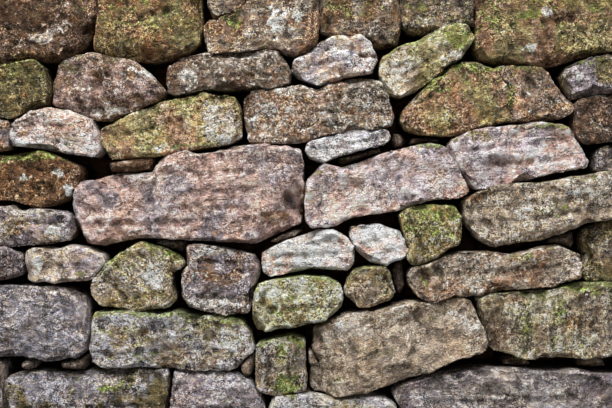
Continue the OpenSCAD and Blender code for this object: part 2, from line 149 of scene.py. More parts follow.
# The stones of the face, course G at the foot to course A at the top: middle in mm, main and
# second colour, brightness, how much moss, pale lichen and rust each carries all over, then the
# lean of its beds in degrees and how strongly they stand out. P1 is a pinning stone
STONES = {
    "A1": (-720, 1050, "brown", "umber", 0.40, 0.20, 0.15, 0.15, 2, 0.8),
    "A2": (-400, 1050, "olive", "umber", 0.92, 0.45, 0.10, 0.20, 20, 0.3),
    "A3": (-205, 1110, "taupe", "brown", 0.70, 0.20, 0.10, 0.00, 0, 0.3),
    "A4": (-100, 1060, "taupe", "brown", 0.93, 0.25, 0.15, 0.30, 5, 0.3),
    "A5": (140, 1080, "taupe", "umber", 0.61, 0.35, 0.05, 0.08, 10, 0.3),
    "A6": (340, 1090, "taupe", "taupe", 0.60, 0.45, 0.20, 0.05, 0, 0.3),
    "A7": (640, 1050, "brown", "olive", 1.12, 0.45, 0.15, 0.00, -6, 0.6),
    "B1": (-760, 870, "olive", "olive", 0.58, 0.40, 0.10, 0.05, 0, 0.4),
    "B2": (-505, 875, "brown", "rose", 0.65, 0.18, 0.32, 0.20, 8, 0.6),
    "B3": (-200, 915, "taupe", "brown", 0.55, 0.12, 0.38, 0.25, 4, 1.0),
    "B4": (75, 945, "pink", "lavender", 1.18, 0.05, 0.25, 0.05, 6, 1.0),
    "B5": (300, 945, "olive", "taupe", 2.85, 0.45, 0.20, 0.05, 24, 0.7),
    "B6": (390, 845, "olive", "brown", 1.29, 0.35, 0.15, 0.08, 30, 0.4),
    "B7": (590, 860, "dark", "brown", 1.74, 0.25, 0.32, 0.10, 60, 0.3),
    "B8": (780, 905, "mauve", "olive", 0.95, 0.20, 0.20, 0.05, 8, 0.5),
    "C0": (-830, 755, "brown", "mauve", 0.85, 0.10, 0.10, 0.05, 0, 0.4),
    "C1": (-640, 760, "rose", "pale", 1.27, 0.12, 0.22, 0.20, -12, 0.9),
    "C2": (-330, 775, "olive", "brown", 2.12, 0.38, 0.12, 0.28, 14, 0.5),
    "C3": (35, 815, "brown", "taupe", 0.80, 0.08, 0.42, 0.08, 4, 0.7),
    "C4": (110, 725, "lavender", "pale", 1.51, 0.00, 0.20, 0.00, 12, 0.6),
    "B9": (790, 800, "brown", "dark", 0.54, 0.15, 0.15, 0.05, 0, 0.5),
    "C7": (545, 700, "rose", "mauve", 1.80, 0.10, 0.20, 0.05, 10, 0.7),
    "C8": (805, 690, "mauve", "olive", 0.75, 0.25, 0.10, 0.00, 0, 0.5),
    "D1": (-710, 640, "umber", "umber", 0.62, 0.16, 0.12, 0.50, 0, 0.5),
    "D2": (-290, 595, "rose", "mauve", 1.08, 0.00, 0.26, 0.08, 6, 1.0),
    "D3": (200, 615, "mauve", "rose", 1.66, 0.04, 0.10, 0.12, 9, 0.2),
    "D4": (320, 505, "olive", "rust", 1.38, 0.55, 0.38, 0.05, 80, 0.4),
    "D5": (650, 575, "taupe", "taupe", 1.26, 0.25, 0.32, 0.36, 8, 0.7),
    "D6": (790, 455, "olive", "taupe", 0.78, 0.30, 0.05, 0.05, 0, 0.4),
    "E1": (-745, 520, "mauve", "taupe", 1.03, 0.08, 0.28, 0.22, 0, 0.8),
    "E2": (-790, 425, "mauve", "dark", 0.57, 0.10, 0.10, 0.05, 0, 0.5),
    "E3": (-605, 425, "mauve", "taupe", 1.75, 0.12, 0.20, 0.10, 0, 0.4),
    "E4": (-420, 385, "taupe", "olive", 1.36, 0.40, 0.20, 0.15, 30, 0.6),
    "E5": (-215, 385, "mauve", "brown", 0.68, 0.03, 0.35, 0.15, 0, 1.0),
    "E6": (5, 450, "pale", "rose", 1.78, 0.00, 0.28, 0.03, 4, 1.0),
    "E7": (185, 472, "pale", "rose", 1.88, 0.00, 0.34, 0.00, 16, 0.6),
    "E8": (162, 365, "olive", "taupe", 1.20, 0.32, 0.30, 0.00, 0, 0.3),
    "E9": (-20, 330, "cream", "olive", 1.66, 0.45, 0.30, 0.20, 10, 0.6),
    "E10": (475, 400, "brown", "taupe", 1.12, 0.20, 0.38, 0.24, 8, 1.1),
    "F1": (-730, 280, "lavender", "lavender", 0.59, 0.04, 0.20, 0.00, 0, 0.4),
    "F2": (-340, 235, "lavender", "taupe", 1.30, 0.45, 0.34, 0.12, 0, 0.7),
    "F3": (-62, 170, "taupe", "lavender", 0.92, 0.42, 0.20, 0.04, 85, 0.6),
    "F4": (230, 225, "taupe", "taupe", 1.38, 0.15, 0.10, 0.12, 14, 0.4),
    "F5": (680, 280, "taupe", "cream", 0.84, 0.35, 0.25, 0.14, 86, 1.0),
    "G0": (-830, 90, "mauve", "taupe", 0.90, 0.10, 0.10, 0.00, 0, 0.5),
    "G1": (-545, 80, "lavender", "olive", 0.76, 0.14, 0.20, 0.05, 0, 0.8),
    "G2": (-225, 80, "mauve", "lavender", 1.11, 0.10, 0.25, 0.00, 0, 0.8),
    "G3": (70, 50, "lavender", "cream", 1.00, 0.03, 0.30, 0.00, 0, 0.6),
    "G4": (515, 80, "pale", "mauve", 0.63, 0.08, 0.20, 0.00, 4, 0.4),
    "G5": (850, 85, "mauve", "taupe", 0.90, 0.10, 0.10, 0.00, 0, 0.5),
    "P1": (-446, 675, "umber", "dark", 0.78, 0.00, 0.05, 0.20, 2, 0.8),
}

# How strongly the grain of a stone's face contrasts, 1 where it isn't listed
CONTRAST = {
    "A1": 1.1, "A2": 1.07, "A4": 1.3, "A5": 1.3, "A6": 1.26, "B1": 1.3, "B2": 0.82, "B3": 0.63, "B4": 0.88,
    "B5": 0.78, "B6": 1.3, "B7": 1.07, "B8": 0.8, "B9": 1.3, "C1": 0.72, "C2": 0.94, "C4": 1.05, "C7": 0.55,
    "D1": 1.19, "D2": 0.5, "D3": 0.68, "D5": 0.9, "D6": 1.3, "E1": 1.22, "E2": 1.15, "E3": 0.72, "E4": 1.3,
    "E5": 1.3, "E6": 0.58, "E7": 0.64, "E8": 1.19, "E9": 1.08, "E10": 0.73, "F1": 0.83, "F2": 1.13,
    "F3": 1.29, "F4": 0.56, "F5": 0.92, "G2": 0.78, "G4": 0.65, "P1": 0.35,
}

# Patches on the face by what they are: middle in mm, half width, half height, amount
PATCHES = {
    "moss": [
        (-700, 1060, 60, 25, 0.3), (-400, 1060, 130, 90, 0.25), (-186, 1044, 22, 26, 0.9),
        (80, 1050, 50, 40, 0.3), (335, 1065, 90, 40, 0.3), (572, 1060, 30, 15, 0.9),
        (480, 1050, 30, 40, 0.6), (700, 1010, 60, 60, 0.3), (-740, 905, 50, 20, 0.4),
        (-590, 925, 60, 18, 0.5), (60, 995, 35, 8, 0.4), (390, 1000, 48, 34, 0.8), (280, 965, 50, 16, 0.5),
        (330, 878, 55, 28, 0.6), (440, 922, 55, 14, 0.7), (520, 850, 12, 50, 0.9), (560, 920, 50, 10, 0.6),
        (740, 940, 40, 12, 0.6), (-600, 735, 30, 12, 0.6), (-330, 722, 150, 11, 0.5),
        (-430, 765, 60, 25, 0.3), (-180, 850, 25, 10, 0.6), (440, 748, 55, 15, 0.6),
        (610, 770, 70, 10, 0.6), (-700, 697, 90, 14, 0.9), (310, 722, 55, 7, 0.6), (98, 690, 16, 14, 0.9),
        (30, 650, 20, 14, 0.4), (622, 556, 40, 16, 0.6), (-560, 400, 30, 12, 0.5), (-470, 410, 50, 30, 0.5),
        (130, 340, 30, 18, 0.4), (-60, 300, 60, 22, 0.5), (300, 390, 30, 20, 0.6), (560, 435, 40, 12, 0.5),
        (310, 520, 60, 30, 0.5), (-290, 240, 50, 16, 0.6), (-400, 200, 100, 16, 0.5),
        (-45, 128, 38, 28, 1.0), (-60, 200, 16, 30, 0.7), (190, 220, 90, 30, 0.3), (620, 250, 10, 70, 0.6),
        (540, 250, 16, 60, 0.6), (60, 135, 60, 18, 0.4), (300, 300, 60, 14, 0.4), (560, 260, 20, 50, 0.6),
        (640, 300, 14, 50, 0.6), (720, 350, 40, 14, 0.6), (-480, 120, 50, 10, 0.7), (300, 118, 40, 14, 0.4)],
    "lichen": [
        (-80, 1038, 14, 40, 0.85), (-56, 1052, 10, 22, 0.7), (-22, 1060, 18, 16, 0.7),
        (-40, 1012, 12, 20, 0.5), (300, 1045, 30, 18, 0.4), (572, 975, 14, 11, 0.9),
        (-400, 905, 32, 22, 0.6), (-302, 898, 30, 24, 0.55), (335, 990, 26, 14, 0.6),
        (580, 890, 40, 20, 0.3), (698, 898, 9, 14, 0.9), (-205, 735, 50, 14, 0.7), (-365, 718, 40, 10, 0.7),
        (-80, 810, 60, 30, 0.2), (590, 700, 80, 25, 0.4), (-630, 656, 11, 10, 1.0),
        (-600, 612, 11, 20, 1.0), (-715, 640, 12, 12, 0.7), (700, 600, 50, 20, 0.5),
        (-631, 510, 18, 13, 1.0), (-675, 420, 11, 22, 1.0), (-384, 388, 22, 28, 1.0),
        (165, 375, 30, 20, 0.3), (0, 350, 60, 25, 0.4), (450, 420, 50, 14, 0.4), (350, 500, 30, 30, 0.4),
        (-190, 240, 40, 30, 0.6), (-60, 226, 42, 12, 0.7), (-200, 90, 60, 16, 0.5), (20, 70, 70, 18, 0.5)],
    "rust": [
        (-680, 955, 80, 14, 0.6), (-390, 1062, 22, 22, 0.5), (-300, 985, 20, 25, 0.3),
        (-170, 1000, 60, 22, 0.5), (110, 1050, 30, 20, 0.3), (-715, 850, 10, 8, 1.0),
        (-535, 905, 14, 12, 0.8), (-440, 902, 14, 12, 0.8), (-428, 845, 14, 12, 0.7),
        (-500, 838, 110, 14, 0.5), (-145, 905, 13, 10, 1.0), (-10, 910, 35, 15, 0.6),
        (400, 830, 70, 40, 0.3), (653, 825, 18, 11, 1.0), (-720, 765, 20, 22, 0.6), (-620, 715, 30, 9, 0.6),
        (-272, 800, 12, 48, 0.9), (-470, 760, 30, 16, 0.6), (660, 760, 20, 8, 0.5),
        (-680, 620, 80, 25, 0.3), (-228, 505, 14, 8, 0.9), (-420, 595, 40, 40, 0.3),
        (-60, 650, 40, 30, 0.3), (-75, 545, 80, 12, 0.7), (-10, 600, 12, 40, 0.7), (120, 560, 60, 16, 0.3),
        (430, 590, 26, 12, 0.9), (560, 600, 60, 12, 0.5), (-734, 505, 22, 9, 0.9), (-580, 430, 20, 14, 0.4),
        (-345, 400, 7, 22, 0.9), (-10, 420, 60, 8, 0.3), (-100, 340, 20, 20, 0.4), (420, 400, 60, 14, 0.5),
        (600, 400, 40, 12, 0.5), (-250, 190, 60, 16, 0.5), (110, 318, 80, 12, 0.6), (655, 262, 12, 60, 0.6),
        (575, 255, 10, 60, 0.6), (200, 300, 30, 10, 0.5), (672, 278, 12, 20, 1.0), (535, 335, 20, 8, 0.8)],
    "pale": [
        (-684, 994, 48, 7, 0.8), (-640, 1030, 40, 22, 0.5), (614, 1062, 18, 16, 0.9),
        (-520, 812, 100, 14, 0.7), (-120, 955, 60, 10, 0.6), (90, 975, 70, 18, 0.6),
        (-660, 800, 60, 12, 0.6), (-236, 792, 26, 62, 0.85), (-192, 768, 26, 44, 0.85),
        (-120, 705, 120, 10, 0.6), (-400, 640, 60, 30, 0.5), (-130, 620, 50, 40, 0.4),
        (-300, 560, 120, 20, 0.3), (48, 600, 14, 26, 0.9), (145, 615, 12, 46, 0.8), (560, 565, 60, 20, 0.4),
        (-690, 552, 60, 9, 0.8), (-220, 325, 80, 18, 0.9), (-235, 455, 55, 13, 0.9), (0, 465, 80, 25, 0.5),
        (185, 480, 50, 22, 0.6), (82, 330, 12, 45, 0.7), (675, 425, 14, 30, 0.8), (-640, 330, 60, 20, 0.4),
        (-440, 270, 50, 20, 0.5), (-300, 262, 30, 12, 0.6), (-105, 175, 10, 40, 0.8),
        (115, 262, 55, 26, 0.8), (400, 262, 40, 26, 0.5), (360, 300, 50, 14, 0.5), (600, 270, 14, 50, 0.5),
        (730, 250, 20, 40, 0.4), (-600, 60, 80, 14, 0.5), (450, 110, 100, 16, 0.4)],
    # Dark bands along the bottoms of stones, partly dampness and partly painted shade
    "damp": [
        (-400, 965, 120, 16, 0.5), (-100, 982, 110, 10, 0.6), (-190, 874, 130, 9, 0.7),
        (150, 955, 22, 5, 0.8), (250, 880, 40, 16, 0.4), (390, 765, 120, 12, 0.6), (-290, 845, 40, 14, 0.5),
        (40, 755, 150, 10, 0.5), (478, 677, 18, 9, 0.8), (510, 635, 80, 8, 0.6), (-700, 582, 80, 8, 0.5),
        (-330, 524, 210, 7, 0.6), (-520, 600, 26, 40, 0.3), (-50, 560, 36, 50, 0.3),
        (250, 575, 120, 12, 0.4), (600, 500, 120, 12, 0.5), (770, 520, 60, 15, 0.6),
        (-430, 325, 90, 10, 0.6), (-134, 410, 14, 45, 0.6), (-730, 200, 120, 12, 0.4),
        (230, 165, 120, 26, 0.35), (28, 210, 16, 50, 0.6), (480, 280, 26, 60, 0.7),
        (-540, 146, 200, 9, 0.5), (600, 150, 120, 8, 0.5)],
}

# Forms cut into a stone's face, in mm: a "groove" and a "hollow" run between two points with a
# half width and a depth, a "step" sets back a strip left of a line, with its width and depth, and
# a "flank" slopes away on the left of a line, or on its right where the slope is negative, with
# its slope and how deep it goes
CARVING = {
    "A1": [("groove", -760, 985, -640, 990, 7, 6), ("flank", -560, 960, -860, 958, 0.9, 22),
           ("hollow", -700, 1020, -660, 1012, 16, 5)],
    "A2": [("groove", -470, 1030, -340, 1075, 9, 6), ("flank", -300, 975, -520, 985, 0.7, 25)],
    "A4": [("hollow", -200, 1040, -160, 1060, 16, 6), ("groove", -110, 1000, 0, 1010, 7, 4)],
    "A5": [("flank", 240, 1010, 40, 1000, 0.6, 20)],
    "A7": [("groove", 480, 1020, 700, 1050, 9, 6), ("hollow", 520, 970, 600, 975, 18, 7),
           ("flank", 800, 970, 450, 960, 0.5, 20)],
    "B2": [("flank", -370, 862, -630, 838, 0.8, 26), ("groove", -600, 905, -440, 895, 7, 4)],
    "B3": [("groove", -350, 893, -80, 903, 6, 5), ("hollow", -300, 930, -250, 938, 16, 5),
           ("groove", -260, 950, -120, 956, 5, 4)],
    "B4": [("groove", 132, 952, 186, 950, 6, 12), ("groove", 0, 925, 120, 945, 7, 4),
           ("hollow", 20, 965, 60, 975, 16, 5)],
    "B5": [("groove", 240, 900, 400, 985, 7, 4), ("flank", 400, 960, 290, 852, 0.5, 18)],
    "B6": [("groove", 300, 840, 420, 930, 8, 4), ("flank", 255, 820, 440, 940, 0.5, 16)],
    "B7": [("groove", 560, 900, 640, 830, 8, 5), ("hollow", 560, 850, 570, 880, 14, 5)],
    "C1": [("groove", -720, 778, -600, 770, 5, 4), ("groove", -700, 742, -560, 722, 5, 4),
           ("flank", -700, 712, -745, 760, 0.6, 14)],
    "C2": [("groove", -480, 745, -300, 790, 7, 4), ("hollow", -310, 845, -285, 846, 12, 8),
           ("groove", -260, 840, -200, 850, 5, 4), ("flank", -170, 716, -500, 708, 0.6, 12)],
    "C3": [("groove", -130, 800, 180, 812, 7, 4), ("hollow", 60, 850, 110, 852, 12, 5),
           ("groove", -60, 770, 120, 775, 5, 3)],
    "C4": [("groove", 20, 708, 190, 742, 4, 3)],
    "C7": [("groove", 400, 708, 690, 742, 7, 5), ("groove", 430, 672, 640, 684, 6, 4),
           ("hollow", 470, 680, 505, 676, 12, 8), ("groove", 520, 745, 640, 752, 5, 4),
           ("flank", 700, 650, 560, 628, 0.6, 16)],
    "D1": [("groove", -720, 665, -600, 655, 7, 5), ("hollow", -690, 620, -650, 615, 16, 6)],
    "D2": [("step", -398, 460, -376, 720, 230, 13), ("groove", -376, 655, -398, 592, 6, 5),
           ("groove", -398, 592, -384, 545, 6, 5), ("groove", -560, 520, -420, 528, 8, 8),
           ("groove", -430, 526, -200, 534, 7, 5), ("flank", -60, 593, -163, 488, 0.60, 34),
           ("flank", -6, 700, -60, 593, 0.80, 34), ("hollow", -470, 640, -440, 612, 14, 9),
           ("hollow", -520, 590, -500, 575, 12, 6), ("groove", -300, 640, -150, 660, 7, 5),
           ("groove", -330, 600, -120, 612, 6, 4), ("groove", -340, 566, -130, 560, 6, 4),
           ("hollow", -235, 700, -215, 696, 10, 9), ("groove", -290, 690, -220, 684, 5, 5),
           ("flank", -150, 492, -560, 484, 0.7, 20)],
    "D3": [("hollow", 88, 690, 110, 676, 12, 7), ("groove", 30, 600, 330, 660, 7, 2),
           ("groove", 60, 640, 30, 560, 6, 4), ("flank", 340, 588, 60, 532, 0.4, 12)],
    "D4": [("groove", 270, 540, 290, 450, 8, 4), ("flank", 330, 440, 270, 445, 0.6, 12)],
    "D5": [("groove", 430, 560, 740, 596, 8, 5), ("hollow", 470, 530, 520, 520, 18, 8),
           ("groove", 560, 535, 740, 566, 7, 5), ("flank", 860, 560, 500, 492, 0.5, 16)],
    "E1": [("groove", -740, 528, -610, 524, 6, 4), ("flank", -620, 492, -840, 490, 0.6, 14)],
    "E3": [("groove", -690, 415, -540, 420, 6, 4)],
    "E4": [("groove", -490, 430, -370, 350, 8, 5), ("hollow", -335, 405, -330, 440, 12, 8),
           ("groove", -520, 400, -440, 330, 7, 4)],
    "E5": [("groove", -290, 345, -150, 332, 7, 5), ("groove", -280, 430, -150, 424, 6, 4),
           ("flank", -150, 470, -140, 310, 0.7, 26)],
    "E6": [("groove", -100, 440, 100, 450, 6, 5), ("groove", -70, 472, 80, 480, 6, 4),
           ("groove", -90, 418, 40, 414, 5, 4)],
    "E7": [("groove", 130, 470, 220, 496, 6, 4), ("groove", 150, 440, 230, 460, 5, 3)],
    "E9": [("groove", -110, 312, 80, 322, 7, 5), ("hollow", -40, 350, 10, 356, 14, 4)],
    "E10": [("groove", 350, 392, 670, 424, 7, 5), ("hollow", 262, 380, 330, 405, 26, 16),
            ("groove", 350, 425, 340, 350, 6, 8), ("groove", 440, 440, 620, 456, 6, 4)],
    "F1": [("groove", -860, 232, -700, 228, 6, 3)],
    "F2": [("groove", -510, 200, -330, 212, 8, 5), ("hollow", -420, 240, -385, 262, 16, 6),
           ("groove", -330, 215, -180, 205, 7, 4), ("groove", -260, 280, -180, 266, 6, 4)],
    "F3": [("groove", -90, 230, -96, 130, 6, 4), ("groove", -40, 225, -42, 120, 6, 4)],
    "F4": [("flank", 72, 120, 36, 296, 0.60, 24), ("groove", 62, 268, 100, 196, 7, 5),
           ("hollow", 60, 158, 120, 150, 14, 8), ("flank", 72, 128, 30, 168, 0.6, 20),
           ("groove", 150, 250, 330, 306, 6, 3), ("flank", 436, 330, 450, 240, 0.6, 16)],
    "F5": [("flank", 500, 200, 446, 372, 0.5, 26), ("groove", 560, 350, 556, 212, 7, 5),
           ("groove", 620, 360, 616, 214, 7, 4), ("groove", 690, 350, 684, 230, 7, 5),
           ("groove", 520, 330, 516, 240, 6, 4), ("groove", 760, 360, 756, 240, 6, 4)],
    "G1": [("groove", -730, 62, -380, 78, 7, 6), ("flank", -390, 128, -740, 132, -0.9, 24)],
    "G2": [("groove", -320, 70, -120, 60, 7, 5), ("flank", -130, 120, -330, 132, -0.8, 20)],
    "G4": [("groove", 300, 80, 700, 96, 7, 5), ("hollow", 580, 132, 620, 130, 12, 8),
           ("groove", 420, 110, 560, 96, 6, 4)],
}


class StoneShape(bpy.types.PropertyGroup):
    """Sizes of the grid and of the rough dressing of the stones"""

    fine_grid: bpy.props.FloatProperty(
        name="Fine grid", description="Spacing of the seen face's mesh",
        default=0.0042, min=0.003, max=0.02, unit="LENGTH", precision=4)
    coarse_grid: bpy.props.FloatProperty(
        name="Coarse grid", description="Spacing of the mesh on the far face, ends and top",
        default=0.008, min=0.004, max=0.03, unit="LENGTH", precision=4)
    swell: bpy.props.FloatProperty(
        name="Swells", description="Height of the broad swells of a rough face",
        default=0.014, min=0.0, max=0.03, unit="LENGTH", precision=4)
    scallop: bpy.props.FloatProperty(
        name="Scallops", description="Depth of the wide dished breaks that a hammer leaves",
        default=0.008, min=0.0, max=0.03, unit="LENGTH", precision=4)
    chip: bpy.props.FloatProperty(
        name="Chips", description="Depth of the small breaks",
        default=0.008, min=0.0, max=0.02, unit="LENGTH", precision=4)
    grain: bpy.props.FloatProperty(
        name="Grain", description="Height of the coarse grain",
        default=0.0055, min=0.0, max=0.01, unit="LENGTH", precision=4)
    ledge: bpy.props.FloatProperty(
        name="Ledges", description="How strongly the beds stand out, as a share",
        default=1.0, min=0.0, max=3.0)
    fill_out: bpy.props.FloatProperty(
        name="Fill out", description="How far the stones' sides grow into the open joints",
        default=0.0025, min=0.0, max=0.004, unit="LENGTH", precision=4)
    edge_flake: bpy.props.FloatProperty(
        name="Edge flakes", description="Depth of the flat breaks along the edges",
        default=0.007, min=0.0, max=0.03, unit="LENGTH", precision=4)
    face_flake: bpy.props.FloatProperty(
        name="Face flakes", description="Depth of the flat breaks on the faces",
        default=0.0060, min=0.0, max=0.02, unit="LENGTH", precision=4)
    nibble: bpy.props.FloatProperty(
        name="Nibbled arrises", description="Depth of the small breaks along the edges",
        default=0.008, min=0.0, max=0.03, unit="LENGTH", precision=4)
    crisp: bpy.props.FloatProperty(
        name="Crisp arrises", description="How far the rounded edges are built out again",
        default=0.0090, min=0.0, max=0.012, unit="LENGTH", precision=4)


class StoneFinish(bpy.types.PropertyGroup):
    """Colours that the stones share, of what weather leaves on them, and of the painted shade"""

    warm: bpy.props.FloatVectorProperty(
        name="Warm clouds", description="What iron leaves of each colour", subtype="COLOR_GAMMA",
        size=3, default=(1.0, 0.89, 0.76), min=0.0, max=1.0)
    cool: bpy.props.FloatVectorProperty(
        name="Cool clouds", description="What is left of each colour in the greyer parts",
        subtype="COLOR_GAMMA", size=3, default=(0.94, 0.95, 1.0), min=0.0, max=1.0)
    moss: bpy.props.FloatVectorProperty(
        name="Moss film", description="Thin dull green film", subtype="COLOR_GAMMA",
        size=3, default=(0.37, 0.35, 0.20), min=0.0, max=1.0)
    moss_bright: bpy.props.FloatVectorProperty(
        name="Bright film", description="Thicker, yellower cushions", subtype="COLOR_GAMMA",
        size=3, default=(0.57, 0.565, 0.33), min=0.0, max=1.0)
    cushion: bpy.props.FloatVectorProperty(
        name="Moss cushions", description="The thickest, greenest moss", subtype="COLOR_GAMMA",
        size=3, default=(0.40, 0.52, 0.17), min=0.0, max=1.0)
    lichen: bpy.props.FloatVectorProperty(
        name="Lichen", description="Cream crusts", subtype="COLOR_GAMMA",
        size=3, default=(0.96, 0.94, 0.89), min=0.0, max=1.0)
    rust: bpy.props.FloatVectorProperty(
        name="Iron stain", description="Orange stain in the sandstone", subtype="COLOR_GAMMA",
        size=3, default=(0.66, 0.49, 0.33), min=0.0, max=1.0)
    # The worn stone colour also paints the highlight on upward faces
    pale: bpy.props.FloatVectorProperty(
        name="Worn stone", description="Pale stone where the surface has worn", subtype="COLOR_GAMMA",
        size=3, default=(0.86, 0.80, 0.75), min=0.0, max=1.0)
    # The grime colour is dirt and also painted shade: under downward faces, deep in the joints and on the
    # packing
    grime_and_shade: bpy.props.FloatVectorProperty(
        name="Grime", description="Dark dirt in hollows and joints", subtype="COLOR_GAMMA",
        size=3, default=(0.18, 0.13, 0.09), min=0.0, max=1.0)


class StudioSetup(bpy.types.PropertyGroup):
    """The camera and the lamps"""

    distance: bpy.props.FloatProperty(
        name="Camera distance", description="From the lens to the wall's face",
        default=2.4, min=1.0, max=10.0, unit="LENGTH")
    framed_width: bpy.props.FloatProperty(
        name="Framed width", description="Length of the face that the picture shows",
        default=1.53, min=0.5, max=4.0, unit="LENGTH")
    lamp: bpy.props.FloatProperty(
        name="Sky panel", description="Power of the large panel above the wall", default=240.0, min=0.0)
    fill: bpy.props.FloatProperty(
        name="Surround", description="Brightness of the plain surround", default=0.27, min=0.0)


def on_screen(colour):
    """A colour as it looks on a screen, as the linear value a shader takes."""
    return [c / 12.92 if c <= 0.04045 else ((c + 0.055) / 1.055) ** 2.4 for c in colour]


def tinted(colour, factor):
    """A lighter or darker shade of a colour."""
    return tuple(min(1.0, c * factor) for c in colour)


def ramp(value, low, high):
    """0 below low, 1 above high and smooth between."""
    t = np.clip((value - low) / (high - low), 0.0, 1.0)
    return t * t * (3.0 - 2.0 * t)


def fade(value, low, high):
    """1 below low, 0 above high and smooth between."""
    return 1.0 - ramp(value, low, high)


def select_only(*pieces):
    bpy.ops.object.select_all(action="DESELECT")
    for piece in pieces:
        piece.select_set(True)
    bpy.context.view_layer.objects.active = pieces[0]


def read(rows, key):
    """The three numbers that each row of a mesh holds under a key."""
    values = np.empty(len(rows) * 3, np.float32)
    rows.foreach_get(key, values)
    return values.reshape(-1, 3).astype(np.float64)


def places(piece):
    return read(piece.data.vertices, "co")


def directions(piece):
    return read(piece.data.vertex_normals, "vector")


def set_places(piece, co):
    piece.data.vertices.foreach_set("co", co.astype(np.float32).ravel())
    piece.data.update()


def face_depth(co):
    """How far a point lies behind the plane of its face, front or back, in metres."""
    return (FOOT_Y - FACE_SLOPE * co[:, 2]) - np.abs(co[:, 1])


def end_depth(co):
    """Depth behind the nearest of the front, back and end faces of an end stone."""
    return np.minimum(face_depth(co), END_X - np.abs(co[:, 0]))


def no_depth(co):
    """A cap stone shows on all sides."""
    return np.zeros(len(co))


# What measures how deep a point of a stone lies, and the axes that the stone's faces look along
IN_FACE = (face_depth, (1,))
IN_END = (end_depth, (0, 1))
ON_TOP = (no_depth, (0, 1, 2))


def lie_of(piece, setting):
    """The depth of each point behind the stone's faces, and 1 where it looks straight out of one
    of them, down to 0 where it looks sideways."""
    depth_of, axes = setting
    facing = np.clip(np.abs(directions(piece)[:, axes]).max(axis=1), 0.0, 1.0)
    return depth_of(places(piece)), facing ** 2


def near_face(depth):
    """1 at a face and 0 well behind it."""
    return fade(depth, 0.03, 0.07)


def shown(depth, front):
    """How much relief a point takes: most on the face, some on the sides and none deep in the wall."""
    return fade(depth, 0.03, 0.10) * (1.0 - 0.50 * (1.0 - front))


def arris_of(depth, front):
    """1 on the edge of a face, 0 on the face and on the sides."""
    return 4.0 * front * (1.0 - front) * near_face(depth)


def loose_stones(node):
    """The stones of a CAD node as objects of their own, each with merged corners."""
    copy = NODES[node].copy()
    copy.data = NODES[node].data.copy()
    copy.parent = None
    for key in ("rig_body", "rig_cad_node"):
        if key in copy:
            del copy[key]
    bpy.context.scene.collection.objects.link(copy)
    select_only(copy)
    bpy.ops.object.mode_set(mode="EDIT")
    bpy.ops.mesh.select_all(action="SELECT")
    bpy.ops.mesh.remove_doubles(threshold=MERGE_WITHIN)
    bpy.ops.mesh.separate(type="LOOSE")
    bpy.ops.object.mode_set(mode="OBJECT")
    stones = list(bpy.context.selected_objects)
    stones.sort(key=lambda s: tuple(round(v, 4) for v in places(s).mean(axis=0)))
    return stones


def joined(stones, name):
    select_only(*stones)
    if len(stones) > 1:
        bpy.ops.object.join()
    piece = bpy.context.view_layer.objects.active
    piece.name = name
    piece.data.name = name
    return piece


def use_modifier(piece, name, kind, **settings):
    """Adds one modifier, with its settings, and applies it."""
    mod = piece.modifiers.new(name, kind)
    for key, value in settings.items():
        setattr(mod, key, value)
    bpy.context.view_layer.objects.active = piece
    bpy.ops.object.modifier_apply(modifier=mod.name)


def share_of(piece, name, weights, levels=20):
    """A vertex group that holds the given weight for each point, in a number of levels."""
    group = piece.vertex_groups.get(name) or piece.vertex_groups.new(name=name)
    steps = np.round(weights * levels).astype(int)
    for step in np.unique(steps):
        group.add(np.flatnonzero(steps == step).tolist(), step / levels, "REPLACE")
    return name


def grid_stone(stone, spacing, hidden, keep):
    """Gives a stone an even grid. hidden(co) is 0 where the stone shows and 1 deep in the wall,
    where only the share keep of the grid stays."""
    select_only(stone)
    use_modifier(stone, "Grid", "REMESH", mode="VOXEL", voxel_size=spacing, use_smooth_shade=True)
    use_modifier(stone, "Worn", "SMOOTH", factor=0.5, iterations=1)
    weight = hidden(places(stone))
    if weight.max() > 0.5:
        name = share_of(stone, "hidden", weight)
        ratio = 1.0 - float(weight.mean()) * (1.0 - keep)
        use_modifier(stone, "Thin", "DECIMATE", ratio=ratio, vertex_group=name, vertex_group_factor=10.0)
        stone.vertex_groups.clear()


def strike_flakes(stone, choice, allowed, count, cut, reach, lean, rise):
    """Strikes flat flakes off a stone round allowed points of it, as a hammer leaves them: up to
    cut deep and reach wide, leaning a little, and rising to the surface at their rim."""
    co = places(stone)
    normal = directions(stone)
    points = np.flatnonzero(allowed)
    if len(points) == 0:
        return
    for _ in range(count):
        i = choice.choice(points)
        facing = normal[i] + choice.uniform(-lean, lean, 3)
        facing /= np.linalg.norm(facing)
        to_point = co - co[i]
        away = np.linalg.norm(to_point, axis=1)
        rim = reach * choice.uniform(0.4, 1.0)
        over = to_point @ facing + cut * choice.uniform(0.25, 1.0) - rise * np.maximum(away - rim, 0.0)
        over = np.clip(over, 0.0, 1.3 * cut) * fade(away, rim, 2.2 * rim)
        co -= over[:, None] * facing
    set_places(stone, co)


def rough_out(stone, choice, setting, shape):
    """Grows a stone's sides and arrises into the open joints, so that its edges are crisp, then
    strikes flakes off its edges and its faces."""
    co = places(stone)
    normal = directions(stone)
    depth, front = lie_of(stone, setting)
    arris = arris_of(depth, front)
    crisp = shape.crisp * (1.0 - 0.3 * np.clip(normal[:, 2], 0.0, 1.0))
    co += normal * ((1.0 - front) * near_face(depth) * shape.fill_out + arris * crisp)[:, None]
    set_places(stone, co)
    length = np.ptp(co[:, 0])
    height = np.ptp(co[:, 2])
    strike_flakes(stone, choice, arris > 0.6, int(2.0 * (length + height) / EDGE_FLAKE_EVERY),
                  shape.edge_flake * min(1.0, height / SLENDER_BELOW), reach=0.030, lean=0.28, rise=0.60)
    strike_flakes(stone, choice, (front > 0.9) & (depth < 0.02), int(length * height / FACE_FLAKE_AREA) + 2,
                  shape.face_flake, reach=0.050, lean=0.08, rise=0.17)


